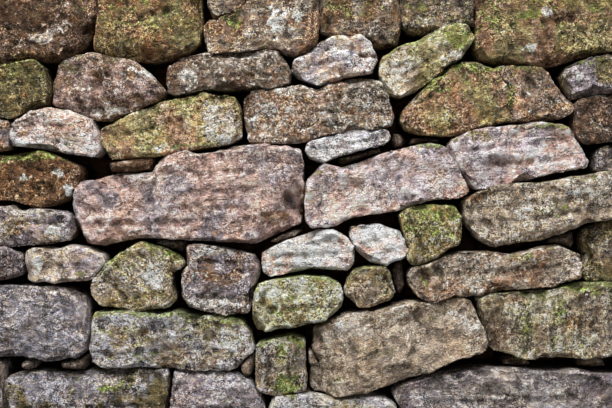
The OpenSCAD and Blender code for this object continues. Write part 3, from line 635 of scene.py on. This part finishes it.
def step_beds(stone, choice, tilt, strength, depth_of):
    """Lets the edges of the stone's beds stand out as broken ledges, on its own slope."""
    co = places(stone)
    normal = directions(stone)
    lean = math.radians(tilt)
    level = (co[:, 0] + co[:, 1]) * MM
    run = level * math.cos(lean) + co[:, 2] * MM * math.sin(lean)
    rise = co[:, 2] * MM * math.cos(lean) - level * math.sin(lean)
    push = np.zeros(len(co))
    for _ in range(2 + int(np.ptp(rise) / BED_EVERY)):
        bed = choice.uniform(rise.min(), rise.max())
        for length, height in BED_WAVES:
            bed = bed + height * np.sin(run * math.tau / length + choice.uniform(0.0, math.tau))
        over = (rise - bed) * choice.choice((-1.0, 1.0))
        middle = choice.uniform(run.min(), run.max())
        half = choice.uniform(0.08, 0.40) * np.ptp(run) + 15.0
        there = fade(np.abs(run - middle), half * 0.6, half)
        height = choice.uniform(0.8, 3.6) * strength
        back = choice.uniform(8.0, 26.0)
        push += ramp(over, -1.0, 2.5) * np.exp(-np.maximum(over, 0.0) / back) * there * height
    push *= near_face(depth_of(co)) * (1.0 - normal[:, 2] ** 2)
    set_places(stone, co - normal * push[:, None] / MM)


def along(co, x0, z0, x1, z1):
    """Share of the way along a line, distance from it and distance on its left, on the face in mm."""
    p = co[:, [0, 2]] * MM - (x0, z0)
    d = np.array((x1 - x0, z1 - z0), float)
    length = float(np.hypot(*d))
    t = p @ d / length ** 2
    away = np.hypot(*(p - np.clip(t, 0.0, 1.0)[:, None] * d).T)
    left = (d[0] * p[:, 1] - d[1] * p[:, 0]) / length
    return t, away, left


def carve(stone, forms):
    """Cuts the grooves, hollows, steps and flanks that show into a stone's face."""
    co = places(stone)
    push = np.zeros(len(co))
    waver = 1.0 + 0.5 * np.sin(co[:, 0] * 160.0 + co[:, 2] * 90.0)
    for kind, x0, z0, x1, z1, reach, cut in forms:
        t, away, left = along(co, x0, z0, x1, z1)
        left = left + 8.0 * (waver - 1.0)
        if kind == "step":
            inside = (t > 0.0) & (t <= 1.0)
            push += np.where(inside, ramp(left, -4.0, 4.0) * fade(left, reach * 0.5, reach), 0.0) * cut
        elif kind == "flank":
            left = left if reach > 0 else -left
            push += np.minimum(np.maximum(left, 0.0) * abs(reach), cut) * fade(np.abs(t - 0.5), 0.5, 0.8)
        else:
            ends = np.clip(np.minimum(t, 1.0 - t) * 6.0 + 0.3, 0.0, 1.0) if kind == "groove" else 1.0
            push += np.exp(-(away / reach) ** 2) * cut * ends * np.clip(waver, 0.3, 1.5)
    co[:, 1] -= np.sign(co[:, 1]) * push * fade(face_depth(co), 0.03, 0.06) / MM
    set_places(stone, co)


def dress(piece, shape, show, arris):
    """Works a gridded piece into rough stone. show is 1 on its faces and 0 deep in the wall, and
    arris is 1 on the edges of a face."""
    select_only(piece)
    face = share_of(piece, "show", show)
    edge = share_of(piece, "arris", arris)
    dished = {"distance_metric": "DISTANCE_SQUARED"}
    coarse = {"noise_depth": 3, "noise_type": "HARD_NOISE"}
    for name, kind, scale, settings, strength, middle, where in (
            ("Swells", "CLOUDS", 0.15, {"noise_depth": 1}, shape.swell, 0.5, face),
            ("Scallops", "VORONOI", 0.10, dished, shape.scallop, 0.25, face),
            ("Nibbled arrises", "CLOUDS", 0.028, {"noise_depth": 2}, shape.nibble, 0.62, edge),
            ("Chips", "VORONOI", 0.036, dished, shape.chip, 0.2, face),
            ("Grain", "CLOUDS", 0.017, coarse, shape.grain, 0.4, face)):
        layer = bpy.data.textures.new(name, kind)
        layer.noise_scale = scale
        for key, value in settings.items():
            setattr(layer, key, value)
        use_modifier(piece, name, "DISPLACE", texture=layer, texture_coords="LOCAL",
                     strength=strength, mid_level=middle, vertex_group=where)
        bpy.data.textures.remove(layer)
    piece.vertex_groups.clear()


def swell(piece, rounds):
    """How far each point stands out of the surface around it, in metres."""
    co = places(piece)
    edges = np.empty(len(piece.data.edges) * 2, np.int32)
    piece.data.edges.foreach_get("vertices", edges)
    a, b = edges.reshape(-1, 2).T
    count = np.bincount(a, minlength=len(co)) + np.bincount(b, minlength=len(co))
    count = np.maximum(count, 1)[:, None]
    smooth = co.copy()
    for _ in range(rounds):
        total = np.empty_like(smooth)
        for k in range(3):
            total[:, k] = np.bincount(a, smooth[b, k], len(co)) + np.bincount(b, smooth[a, k], len(co))
        smooth = total / count
    return ((co - smooth) * directions(piece)).sum(axis=1)


def store(piece, name, values):
    """Keeps four values a point as an attribute that the materials read."""
    kept = piece.data.attributes
    attribute = kept.get(name) or kept.new(name, "FLOAT_COLOR", "POINT")
    attribute.data.foreach_set("color", np.clip(values, 0.0, 1.0).astype(np.float32).ravel())


def tint_stone(stone, main, second, light, moss, lichen, rust, tilt, contrast=1.0):
    """Writes a stone's two colours, the contrast of its grain, its overall growth, of which the
    moss is more on its upper part, and where it lay in its own bed."""
    co = places(stone)
    n = len(co)
    for name, key in (("tint_main", main), ("tint_second", second)):
        rgb = np.array(on_screen(PALETTE[key])) * light * LIGHTENED
        store(stone, name, np.tile(np.append(rgb, contrast / CONTRAST_RANGE), (n, 1)))
    height = (co[:, 2] - co[:, 2].min()) / max(np.ptp(co[:, 2]), 0.01)
    growth = np.tile((moss, lichen, rust, 0.0), (n, 1))
    growth[:, 0] *= 0.55 + 0.95 * height
    store(stone, "growth", growth)
    middle = co.mean(axis=0)
    turn = np.array(Matrix.Rotation(math.radians(tilt), 3, "Y"))
    lie = (co - middle) @ turn.T + middle * BED_SHIFT
    attribute = stone.data.attributes.new("lie", "FLOAT_VECTOR", "POINT")
    attribute.data.foreach_set("vector", lie.astype(np.float32).ravel())


def weather(piece, depth, patches):
    """Writes the patches of growth with a painted highlight on upward faces, how far each point stands out,
    for worn edges and painted shade in hollows, how deep it lies, for dirt and painted shade, and dampness
    with painted shade under downward faces.
    """
    co = places(piece)
    n = len(co)
    growth = np.empty(n * 4, np.float32)
    piece.data.attributes["growth"].data.foreach_get("color", growth)
    growth = growth.reshape(-1, 4).astype(np.float64)
    damp = np.zeros(n)
    across, _, up = co.T
    ragged = (1.0 + 0.32 * np.sin(across * 118.0 + up * 61.0) * np.sin(up * 97.0 - across * 43.0)
              + 0.24 * np.sin(across * 251.0 - up * 190.0))
    for kind, x, z, half_x, half_z, amount in ((kind, *row) for kind in patches for row in patches[kind]):
        away = ragged * np.hypot((across * MM - x) / half_x, (up * MM - z) / half_z)
        add = amount * fade(away, 0.55, 1.35)
        if kind == "damp":
            damp = np.maximum(damp, add)
        else:
            k = GROWTH.index(kind)
            growth[:, k] = np.maximum(growth[:, k], add) + 0.3 * np.minimum(growth[:, k], add)
    level = directions(piece)[:, 2]
    growth[:, 0] += (0.20 + 0.5 * growth[:, 0]) * np.clip(level * 1.5, 0.0, 1.0)
    # Painted highlight: upward faces are made paler, as light falls on them from above
    growth[:, 3] += 0.45 * ramp(level, 0.25, 0.75)
    store(piece, "growth", growth)
    fine = swell(piece, 3) / FINE_SWELL
    broad = swell(piece, 14) / BROAD_SWELL
    # worn is high where the stone stands out, for pale worn edges with a painted highlight, and low in
    # hollows, for painted shade
    worn = 0.5 + 0.5 * np.clip(0.5 * fine + 0.7 * broad, -1.0, 1.0)
    # Painted shade: downward faces are darkened like wet stone, since light falls from above
    damp = np.maximum(damp, 0.5 * np.clip(-level, 0.0, 1.0))
    # The depth share darkens the stone with dirt and painted shade in the joints
    store(piece, "wear", np.stack((worn, np.clip(depth / DARK_DEPTH, 0.0, 1.0), damp, np.zeros(n)), axis=1))


class NodeBench:
    """A short way to lay out a material's nodes."""

    def __init__(self, material):
        material.use_nodes = True
        self.tree = material.node_tree
        self.tree.nodes.clear()
        self.at = 0

    def add(self, kind, inputs=None, **settings):
        """Adds a node with its settings. Each input is linked to a socket or holds a value."""
        node = self.tree.nodes.new(kind)
        self.at += 1
        node.location = (220 * (self.at % 8), -260 * (self.at // 8))
        for key, value in settings.items():
            setattr(node, key, value)
        for key, value in (inputs or {}).items():
            if isinstance(value, bpy.types.NodeSocket):
                self.tree.links.new(value, node.inputs[key])
            else:
                node.inputs[key].default_value = value
        return node

    def attribute(self, name):
        return self.add("ShaderNodeAttribute", attribute_name=name).outputs

    def parts(self, colour):
        """The three numbers of a colour."""
        return self.add("ShaderNodeSeparateColor", {"Color": colour}).outputs[:3]

    def math(self, operation, a, b=0.0, clamp=False):
        return self.add("ShaderNodeMath", {0: a, 1: b}, operation=operation, use_clamp=clamp).outputs[0]

    def plus(self, a, b, clamp=False):
        return self.math("ADD", a, b, clamp)

    def times(self, a, b, clamp=False):
        return self.math("MULTIPLY", a, b, clamp)

    def sway(self, noise):
        """How far a noise is above its middle."""
        return self.math("SUBTRACT", noise, 0.5)

    def mix(self, share, a, b, blend="MIX"):
        """Lays colour b over colour a."""
        a, b = (c if isinstance(c, bpy.types.NodeSocket) else (*c[:3], 1.0) for c in (a, b))
        node = self.add("ShaderNodeMix", {0: share, 6: a, 7: b}, data_type="RGBA", blend_type=blend)
        return node.outputs[2]

    def step(self, value, low, high):
        """0 at low, 1 at high and smooth between."""
        node = self.add("ShaderNodeMapRange", {"Value": value, "From Min": low, "From Max": high},
                        interpolation_type="SMOOTHSTEP", clamp=True)
        return node.outputs[0]

    def range(self, value, low, high, to_low, to_high):
        """to_low at low, to_high at high and straight between."""
        node = self.add("ShaderNodeMapRange", {"Value": value, "From Min": low, "From Max": high,
                                               "To Min": to_low, "To Max": to_high}, clamp=True)
        return node.outputs[0]

    def noise(self, where, scale, detail, rough, warp=0.0, output=0):
        node = self.add("ShaderNodeTexNoise", {"Vector": where, "Scale": scale, "Detail": detail,
                                               "Roughness": rough, "Distortion": warp})
        return node.outputs[output]

    def toned(self, share, base, noise, low, high, dark, light):
        """Darkens a colour where a noise is low and lightens it where it is high."""
        tone = self.range(noise, low, high, dark, light)
        grey = self.add("ShaderNodeCombineColor", {0: tone, 1: tone, 2: tone}).outputs[0]
        return self.mix(share, base, grey, "MULTIPLY")

    def lit(self, share, base, gain, lift=0.0):
        """Scales a colour and lifts it by a little warm light."""
        scaled = self.mix(1.0, base, (gain, gain, gain), "MULTIPLY")
        lifted = self.mix(1.0, scaled, (lift * 1.12, lift * 0.98, lift * 0.88), "ADD")
        return self.mix(share, base, lifted)

    def surface(self, colour, rough, gloss, **more):
        """The shader of a surface."""
        return self.add("ShaderNodeBsdfPrincipled", {"Base Color": colour, "Roughness": rough,
                                                     "Specular IOR Level": gloss, **more}).outputs[0]

    def bump(self, height, distance):
        node = self.add("ShaderNodeBump", {"Height": height, "Strength": 1.0, "Distance": distance})
        return node.outputs[0]

    def finish(self, shader, kind="Material"):
        """Ends a material or a world with its shader."""
        self.add("ShaderNodeOutput" + kind, {"Surface": shader})


class StoneBench(NodeBench):
    """Weathered sandstone: two tints with clouds and beds, the films that lie on it, its grain, and
    what wearing, dirt and dampness have done to it, with painted highlight and painted shade. It reads what
    tint_stone and weather wrote."""

    def __init__(self, material, finish):
        super().__init__(material)
        self.colours = finish
        self.where = self.attribute("lie")["Vector"]
        tint = self.attribute("tint_main")
        self.main = tint["Color"]
        self.contrast = self.times(tint["Alpha"], CONTRAST_RANGE)
        self.second = self.attribute("tint_second")["Color"]
        growth = self.attribute("growth")
        self.moss, self.lichen, self.rust = self.parts(growth["Color"])
        # The pale share is worn stone and the painted highlight on upward faces
        self.pale = growth["Alpha"]
        # This attribute holds how far a point stands out, for worn edges, painted highlight and painted
        # shade, its depth, for dirt and painted shade, and dampness with painted shade under downward faces
        self.worn, self.deep, self.damp = self.parts(self.attribute("wear")["Color"])
        self.even = self.times(self.contrast, 0.85, clamp=True)

        beds = self.add("ShaderNodeMapping", {"Vector": self.where, "Scale": (1.0, 1.0, 4.0)}).outputs[0]
        self.layers = self.noise(beds, 24.0, 4.0, 0.70, 0.5)
        self.broad = self.noise(self.where, 10.0, 4.0, 0.6, 0.5)
        self.blotch = self.noise(self.where, 34.0, 4.5, 0.72, 0.4)
        self.patch = self.noise(self.where, 58.0, 4.0, 0.78, 0.5)
        self.crust = self.noise(self.where, 78.0, 3.0, 0.80, 0.3)
        self.fleck = self.noise(self.where, 105.0, 3.0, 0.82)
        self.grit = self.noise(self.where, 175.0, 2.0, 0.85)
        self.speck = self.noise(self.where, 330.0, 1.0, 0.8)
        self.hues = self.noise(self.where, 125.0, 2.5, 0.85, output="Color")
        zones = self.noise(self.where, 14.0, 4.0, 0.7, 0.5)
        self.rugged = self.times(self.range(zones, 0.44, 0.56, 0.12, 1.0), self.contrast, clamp=True)

    def body(self):
        """The two tints, with warmer and cooler clouds, beds and blotches."""
        colour = self.mix(self.step(self.broad, 0.44, 0.58), self.main, self.second)
        clouded = self.plus(self.times(self.contrast, 0.65), 0.2, clamp=True)
        warmth = self.noise(self.where, 15.0, 3.5, 0.55, 0.8)
        for cloud, low, high in ((self.colours.warm, 0.48, 0.62), (self.colours.cool, 0.50, 0.36)):
            share = self.times(self.step(warmth, low, high), clouded)
            colour = self.mix(share, colour, cloud, "MULTIPLY")
        colour = self.toned(clouded, colour, self.layers, 0.36, 0.64, 0.72, 1.30)
        return self.toned(1.0, colour, self.blotch, 0.41, 0.59, 0.54, 1.52)

    def cover(self, amount, grain, low, soft, dark, light, strength):
        """Where a film lies, which is where its amount and a noise together pass a level, and its
        colour."""
        level = self.plus(amount, self.times(self.sway(grain), 2.6))
        mask = self.times(self.step(level, low, low + soft), strength)
        return mask, self.mix(self.step(self.fleck, 0.42, 0.60), on_screen(dark), on_screen(light))

    def films(self, colour):
        """Lays worn stone, with the painted highlight on upward faces, iron stain, lichen and moss on the
        colour, and tells where the moss is.
        """
        own = self.colours
        for amount, grain, low, soft, stuff, dark, light, strength in (
                # Worn stone, with the painted highlight on upward faces
                (self.pale, self.blotch, 0.42, 0.35, own.pale, 0.86, 1.12, 0.8),
                (self.rust, self.patch, 0.50, 0.40, own.rust, 0.78, 1.2, 0.75),
                (self.lichen, self.patch, 0.52, 0.26, own.lichen, 0.88, 1.0, 0.9)):
            shades = tinted(stuff, dark), tinted(stuff, light)
            mask, film = self.cover(amount, grain, low, soft, *shades, strength)
            colour = self.mix(mask, colour, film)
        thin = self.plus(self.times(self.lichen, 0.7), self.times(self.sway(self.crust), 2.6))
        colour = self.lit(self.times(self.step(thin, 0.34, 0.60), 0.75), colour, 1.2, 0.27)
        spread = self.noise(self.where, 44.0, 4.0, 0.80, 0.7)
        mask, film = self.cover(self.moss, spread, 0.50, 0.50, own.moss, own.moss_bright, 0.85)
        thick = self.times(self.step(self.moss, 0.80, 1.0), self.step(self.crust, 0.46, 0.56))
        film = self.mix(thick, film, on_screen(own.cushion))
        return self.mix(mask, colour, film), mask

    def grain(self, colour):
        """Grains of different hues, pinkish and yellowish to greyish, dark and pale flecks, and specks."""
        warm, green, _ = self.parts(self.hues)
        hues = self.add("ShaderNodeCombineColor", {
            0: self.range(warm, 0.36, 0.64, 0.87, 1.15), 1: self.range(green, 0.36, 0.64, 0.91, 1.11),
            2: self.range(warm, 0.36, 0.64, 1.24, 0.74)}).outputs[0]
        colour = self.mix(self.even, colour, hues, "MULTIPLY")
        colour = self.toned(self.rugged, colour, self.fleck, 0.38, 0.62, 0.42, 1.90)
        speckled = self.plus(self.times(self.rugged, 0.8), 0.2, clamp=True)
        return self.toned(speckled, colour, self.speck, 0.38, 0.62, 0.24, 1.98)

    def cuts(self):
        """Where holes and thin broken cracks are."""
        around = self.add("ShaderNodeVectorMath", {0: self.hues, 1: (0.018, 0.018, 0.018), 2: self.where},
                          operation="MULTIPLY_ADD").outputs[0]
        cells = self.add("ShaderNodeTexVoronoi", {"Vector": around, "Scale": 48.0, "Randomness": 1.0})
        holes = self.step(cells.outputs["Distance"], 0.22, 0.12)
        holes = self.times(holes, self.step(self.broad, 0.53, 0.58))
        seams = self.add("ShaderNodeMapping", {"Vector": self.where, "Scale": (1.0, 1.0, 2.2)}).outputs[0]
        line = self.math("ABSOLUTE", self.sway(self.noise(seams, 9.0, 3.0, 0.55, 0.8)))
        cracks = self.times(self.step(line, 0.014, 0.004), self.step(self.patch, 0.46, 0.52))
        return self.math("MAXIMUM", holes, cracks)

    def wear(self, colour, cuts):
        """Pale grit, dark pits that are partly painted shade, holes and cracks darkened as painted shade,
        pale worn edges with a painted highlight, painted shade in hollows, then dampness with painted shade
        under downward faces, and dirt with painted shade deep in the joints.
        """
        bright = self.times(self.times(self.step(self.grit, 0.53, 0.62), 0.85), self.rugged)
        # Dark pits are partly pit colour and partly painted shade where the bump sinks
        pits = self.times(self.times(self.step(self.grit, 0.46, 0.37), 0.9), self.rugged)
        # Pale edges are partly worn stone and partly a painted highlight where the stone stands out
        edges = self.times(self.step(self.worn, 0.58, 0.95), self.range(self.fleck, 0.42, 0.60, 0.05, 0.75))
        # Painted shade in the hollows
        hollows = self.times(self.step(self.worn, 0.46, 0.10), self.times(self.even, 0.85))
        # Of these, the holes and cracks are darkened as painted shade
        for share, gain, lift in ((bright, 2.5, 0.09), (pits, 0.22, 0.0), (self.times(cuts, 0.82), 0.20, 0.0),
                                  (edges, 1.9, 0.08), (hollows, 0.22, 0.0)):
            colour = self.lit(share, colour, gain, lift)
        # Dampness with painted shade under downward faces, then dirt with painted shade deep in the joints,
        # both in the grime colour
        damp = self.plus(self.damp, self.times(self.sway(self.blotch), 1.4))
        for level, low, high, strength, dirt in (
                (damp, 0.25, 0.95, 0.70, 2.0), (self.deep, 0.25, 0.70, 0.92, 1.2)):
            share = self.times(self.step(level, low, high), strength)
            colour = self.mix(share, colour, on_screen(tinted(self.colours.grime_and_shade, dirt)))
        return self.mix(1.0, colour, (LIGHTEST, LIGHTEST, LIGHTEST), "DARKEN")

    def relief(self, moss, cuts):
        """The height of the grain, for the bump."""
        height = self.times(self.fleck, 0.9)
        for layer, share in ((self.blotch, 1.0), (self.layers, 0.6), (self.grit, 0.5), (self.speck, 0.16),
                             (moss, 0.2), (cuts, -0.35)):
            height = self.plus(height, self.times(layer, share))
        return height


def weathered_stone(finish):
    """The sandstone of all the stones, made once."""
    name = "weathered_stone"
    if name in bpy.data.materials:
        return bpy.data.materials[name]
    material = bpy.data.materials.new(name)
    bench = StoneBench(material, finish)
    cuts = bench.cuts()
    colour, moss = bench.films(bench.body())
    colour = bench.wear(bench.grain(colour), cuts)
    rough = bench.range(bench.fleck, 0.35, 0.65, 0.80, 0.98)
    bump = bench.bump(bench.relief(moss, cuts), 0.013)
    bench.finish(bench.surface(colour, rough, 0.22, Normal=bump))
    return material


def packing_stone(finish):
    """Dark lumps, as the packing between the faces looks through the open joints: the dark colour is grime
    and painted shade of the joints.
    """
    material = bpy.data.materials.new("dark_packing")
    bench = NodeBench(material)
    where = bench.add("ShaderNodeTexCoord").outputs["Object"]
    lump = bench.noise(where, 30.0, 6.0, 0.6)
    cells = bench.add("ShaderNodeTexVoronoi", {"Vector": where, "Scale": 22.0}).outputs["Distance"]
    colour = bench.mix(bench.step(lump, 0.35, 0.65), on_screen(tinted(finish.grime_and_shade, 1.5)),
                       on_screen(tinted(finish.grime_and_shade, 3.0)))
    bump = bench.bump(bench.plus(lump, cells), 0.02)
    bench.finish(bench.surface(colour, 0.95, 0.2, Normal=bump))
    return material


def name_of(stone):
    """The listed stone that a stone of the face is, or nothing for the rough packing."""
    co = places(stone) * MM
    x = (co[:, 0].min() + co[:, 0].max()) / 2
    z = (co[:, 2].min() + co[:, 2].max()) / 2
    name = min(STONES, key=lambda k: math.hypot(STONES[k][0] - x, (STONES[k][1] - z) * 1.5))
    size = math.hypot(np.ptp(co[:, 0]), np.ptp(co[:, 2]))
    if size < PACKING_SIZE and math.hypot(STONES[name][0] - x, STONES[name][1] - z) > PACKING_AWAY:
        return None
    return name


def grid_of(spacing):
    return spacing * 1.0


def deep_in(depth_of):
    """Tells where a stone is hidden: 0 near a face and 1 deep in the wall."""
    return lambda co: ramp(depth_of(co), 0.032, 0.060)


def work_piece(piece, node, context, setting, show, patches=()):
    """Works the surface of joined stones rough, cuts it level at the foot, weathers it with painted
    highlight and shade, and puts the piece in its CAD node's place."""
    dress(piece, context.scene.dry_wall_shape, show, arris_of(*lie_of(piece, setting)))
    co = places(piece)
    co[:, 2] = np.maximum(co[:, 2], 0.0)
    set_places(piece, co)
    depth_of = setting[0]
    # The depth behind the face darkens the stone with dirt and painted shade
    weather(piece, np.maximum(depth_of(co) - CLEAN_UNSHADED_DEPTH, 0.0), patches)
    piece.data.materials.clear()
    piece.data.materials.append(weathered_stone(context.scene.dry_wall_finish))
    piece.data.polygons.foreach_set("use_smooth", np.ones(len(piece.data.polygons), bool))
    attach(piece, "root")
    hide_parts(node)


def build_face(context, side, spacing):
    """Dresses every course of one face of the wall."""
    shape = context.scene.dry_wall_shape
    for node in sorted(n for n in NODES if n.startswith(side + "_")):
        stones = loose_stones(node)
        small = node.endswith(("pinnings", "chocks"))
        for stone in stones:
            grid_stone(stone, min(spacing, SMALL_GRID) if small else spacing, deep_in(face_depth), 0.04)
            name = name_of(stone)
            choice = np.random.default_rng(sum(ord(c) * 7 ** k for k, c in enumerate(name or "packing")))
            if not small:
                rough_out(stone, choice, IN_FACE, shape)
            if name:
                main, second, light, moss, lichen, rust, tilt, beds = STONES[name][2:]
                step_beds(stone, choice, tilt, beds * shape.ledge, face_depth)
                carve(stone, CARVING.get(name, []))
                tint_stone(stone, main, second, light, moss, lichen, rust, tilt, CONTRAST.get(name, 1.0))
            else:
                tint_stone(stone, "dark", "taupe", 0.75, 0.10, 0.05, 0.05, 0)
        piece = joined(stones, node + "_stones")
        show = shown(*lie_of(piece, IN_FACE)) * (0.4 if small else 1.0)
        work_piece(piece, node, context, IN_FACE, show, PATCHES)


class WALL_OT_seen_face(bpy.types.Operator):
    """Dresses the stones of the face that the photograph shows"""

    bl_idname = "wall.seen_face"
    bl_label = "Seen face"

    def execute(self, context):
        build_face(context, "front", grid_of(context.scene.dry_wall_shape.fine_grid))
        return {"FINISHED"}


class WALL_OT_far_face(bpy.types.Operator):
    """Dresses the stones of the far face, which repeats the seen one"""

    bl_idname = "wall.far_face"
    bl_label = "Far face"

    def execute(self, context):
        build_face(context, "back", grid_of(context.scene.dry_wall_shape.coarse_grid))
        return {"FINISHED"}


class WALL_OT_end_stacks(bpy.types.Operator):
    """Dresses the tie stones and the paired stones of the two ends"""

    bl_idname = "wall.end_stacks"
    bl_label = "End stacks"

    def execute(self, context):
        shape = context.scene.dry_wall_shape
        spacing = grid_of(shape.coarse_grid)
        choice = np.random.default_rng(5)
        tints = ["taupe", "brown", "mauve", "pink", "olive", "lavender"]
        for node in sorted(n for n in NODES if "_end_" in n):
            stones = loose_stones(node)
            for stone in stones:
                grid_stone(stone, spacing, deep_in(end_depth), 0.05)
                a, b = choice.choice(len(tints), 2, replace=False)
                moss, lichen, rust = choice.uniform(0.05, 0.4, 3)
                tilt = choice.uniform(-8.0, 8.0)
                rough_out(stone, choice, IN_END, shape)
                step_beds(stone, choice, tilt, choice.uniform(0.4, 1.2) * shape.ledge, end_depth)
                tint_stone(stone, tints[a], tints[b], choice.uniform(0.9, 1.05), moss, lichen, rust, tilt)
            piece = joined(stones, node + "_stones")
            work_piece(piece, node, context, IN_END, shown(*lie_of(piece, IN_END)))
        return {"FINISHED"}


class WALL_OT_cap_stones(bpy.types.Operator):
    """Dresses the flat stones that lie across the top"""

    bl_idname = "wall.cap_stones"
    bl_label = "Cap stones"

    def execute(self, context):
        shape = context.scene.dry_wall_shape
        spacing = grid_of(shape.coarse_grid)
        choice = np.random.default_rng(11)
        tints = ["taupe", "mauve", "olive", "brown", "lavender"]
        stones = loose_stones("cap_stones")
        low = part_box("cap_stones")[0]

        def hidden(co):
            """1 on the part of the underside that lies on the wall."""
            under = ramp(low.z + 0.02 - co[:, 2], 0.0, 0.015)
            return under * ramp(0.19 - np.abs(co[:, 1]), 0.0, 0.02)

        for stone in stones:
            grid_stone(stone, spacing, hidden, 0.05)
            rough_out(stone, choice, ON_TOP, shape)
            a, b = choice.choice(len(tints), 2, replace=False)
            tint_stone(stone, tints[a], tints[b], choice.uniform(0.9, 1.05), choice.uniform(0.0, 0.3),
                       choice.uniform(0.15, 0.4), choice.uniform(0.0, 0.2), 0)
        piece = joined(stones, "cap_stones_dressed")
        show = 0.3 + 0.7 * ramp(places(piece)[:, 2], low.z + 0.01, low.z + 0.04)
        work_piece(piece, "cap_stones", context, ON_TOP, show)
        return {"FINISHED"}


class WALL_OT_hearting(bpy.types.Operator):
    """Gives the packing between the faces a rough finish, dark with grime and painted shade"""

    bl_idname = "wall.hearting"
    bl_label = "Hearting"

    def execute(self, context):
        hearting = NODES["hearting"]
        hearting.data.materials.clear()
        hearting.data.materials.append(packing_stone(context.scene.dry_wall_finish))
        return {"FINISHED"}


def pale_floor():
    """A grey that catches the shadow, with a glow that only the camera sees."""
    material = bpy.data.materials.new("pale_floor")
    bench = NodeBench(material)
    seen = bench.add("ShaderNodeLightPath").outputs["Is Camera Ray"]
    shader = bench.surface((0.22, 0.22, 0.215, 1.0), 0.9, 0.2)
    glow = bench.add("ShaderNodeEmission", {
        "Color": (0.98, 0.98, 0.97, 1.0), "Strength": bench.times(seen, 0.36)})
    bench.finish(bench.add("ShaderNodeAddShader", {0: shader, 1: glow.outputs[0]}).outputs[0])
    return material


def plain_surround(strength):
    """A sky that lights the wall, and that the camera sees in the colour of the far floor."""
    world = bpy.data.worlds.new("plain_surround")
    bench = NodeBench(world)
    seen = bench.add("ShaderNodeLightPath").outputs["Is Camera Ray"]
    light = bench.add("ShaderNodeBackground", {"Color": (0.94, 0.97, 1.0, 1.0), "Strength": strength})
    far = bench.add("ShaderNodeBackground", {"Color": (0.418, 0.420, 0.415, 1.0), "Strength": 1.0})
    both = bench.add("ShaderNodeMixShader", {0: seen, 1: light.outputs[0], 2: far.outputs[0]})
    bench.finish(both.outputs[0], "World")
    return world


def hang_lamp(scene, name, place, power):
    """Hangs a large square lamp that looks at the middle of the wall."""
    lamp = bpy.data.lights.new(name, "AREA")
    lamp.shape = "SQUARE"
    lamp.size = 2.8
    lamp.energy = power
    holder = bpy.data.objects.new(name, lamp)
    scene.collection.objects.link(holder)
    holder.location = place
    aim = Vector((0.0, 0.0, 0.6)) - Vector(place)
    holder.rotation_euler = aim.to_track_quat("-Z", "Y").to_euler()


def set_camera(scene, studio):
    """Sets a level camera that looks straight at the seen face."""
    lens = bpy.data.cameras.new("camera")
    camera = bpy.data.objects.new("camera", lens)
    scene.collection.objects.link(camera)
    middle_z = 0.575
    swell_y = 0.012
    face_y = -(FOOT_Y - FACE_SLOPE * middle_z) - swell_y
    camera.location = (0.0, face_y - studio.distance, middle_z)
    camera.rotation_euler = (math.radians(90), 0, 0)
    lens.sensor_fit = "HORIZONTAL"
    lens.sensor_width = 36.0
    lens.lens = lens.sensor_width * studio.distance / studio.framed_width
    lens.clip_end = 50.0
    scene.camera = camera


class WALL_OT_studio(bpy.types.Operator):
    """Lays the pale floor and sets the lamps and the camera"""

    bl_idname = "wall.studio"
    bl_label = "Studio"

    def execute(self, context):
        studio = context.scene.dry_wall_studio
        scene = context.scene
        bpy.ops.object.select_all(action="DESELECT")
        bpy.ops.mesh.primitive_plane_add(size=60.0, location=(0, 0, -0.0005))
        floor = context.object
        floor.name = "studio_floor"
        floor.data.materials.append(pale_floor())
        scene.world = plain_surround(studio.fill)
        hang_lamp(scene, "sky_panel", (-0.5, -2.2, 3.8), studio.lamp)
        hang_lamp(scene, "sky_panel_back", (0.8, 2.5, 3.7), studio.lamp * 0.7)
        set_camera(scene, studio)
        scene.view_settings.view_transform = "Standard"
        return {"FINISHED"}


class WALL_PT_panel(bpy.types.Panel):
    """Lists the steps that build the wall's looks"""

    bl_idname = "WALL_PT_panel"
    bl_label = "Dry stone wall"
    bl_space_type = "VIEW_3D"
    bl_region_type = "UI"
    bl_category = "Dry stone wall"

    def draw(self, context):
        layout = self.layout
        for kind in STEPS:
            layout.operator(kind.bl_idname)
        scene = context.scene
        for group in (scene.dry_wall_shape, scene.dry_wall_finish, scene.dry_wall_studio):
            box = layout.box()
            for key in group.__annotations__:
                box.prop(group, key)


STEPS = (WALL_OT_studio, WALL_OT_seen_face, WALL_OT_far_face, WALL_OT_end_stacks, WALL_OT_cap_stones,
         WALL_OT_hearting)
GROUPS = (StoneShape, StoneFinish, StudioSetup)


def register():
    for kind in GROUPS + STEPS + (WALL_PT_panel,):
        bpy.utils.register_class(kind)
    bpy.types.Scene.dry_wall_shape = bpy.props.PointerProperty(type=StoneShape)
    bpy.types.Scene.dry_wall_finish = bpy.props.PointerProperty(type=StoneFinish)
    bpy.types.Scene.dry_wall_studio = bpy.props.PointerProperty(type=StudioSetup)


def unregister():
    del bpy.types.Scene.dry_wall_studio
    del bpy.types.Scene.dry_wall_finish
    del bpy.types.Scene.dry_wall_shape
    for kind in reversed(GROUPS + STEPS + (WALL_PT_panel,)):
        bpy.utils.unregister_class(kind)


def main():
    register()
    bpy.ops.wall.studio()
    bpy.ops.wall.seen_face()
    bpy.ops.wall.far_face()
    bpy.ops.wall.end_stacks()
    bpy.ops.wall.cap_stones()
    bpy.ops.wall.hearting()
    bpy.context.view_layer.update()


if __name__ == "__main__":
    main()
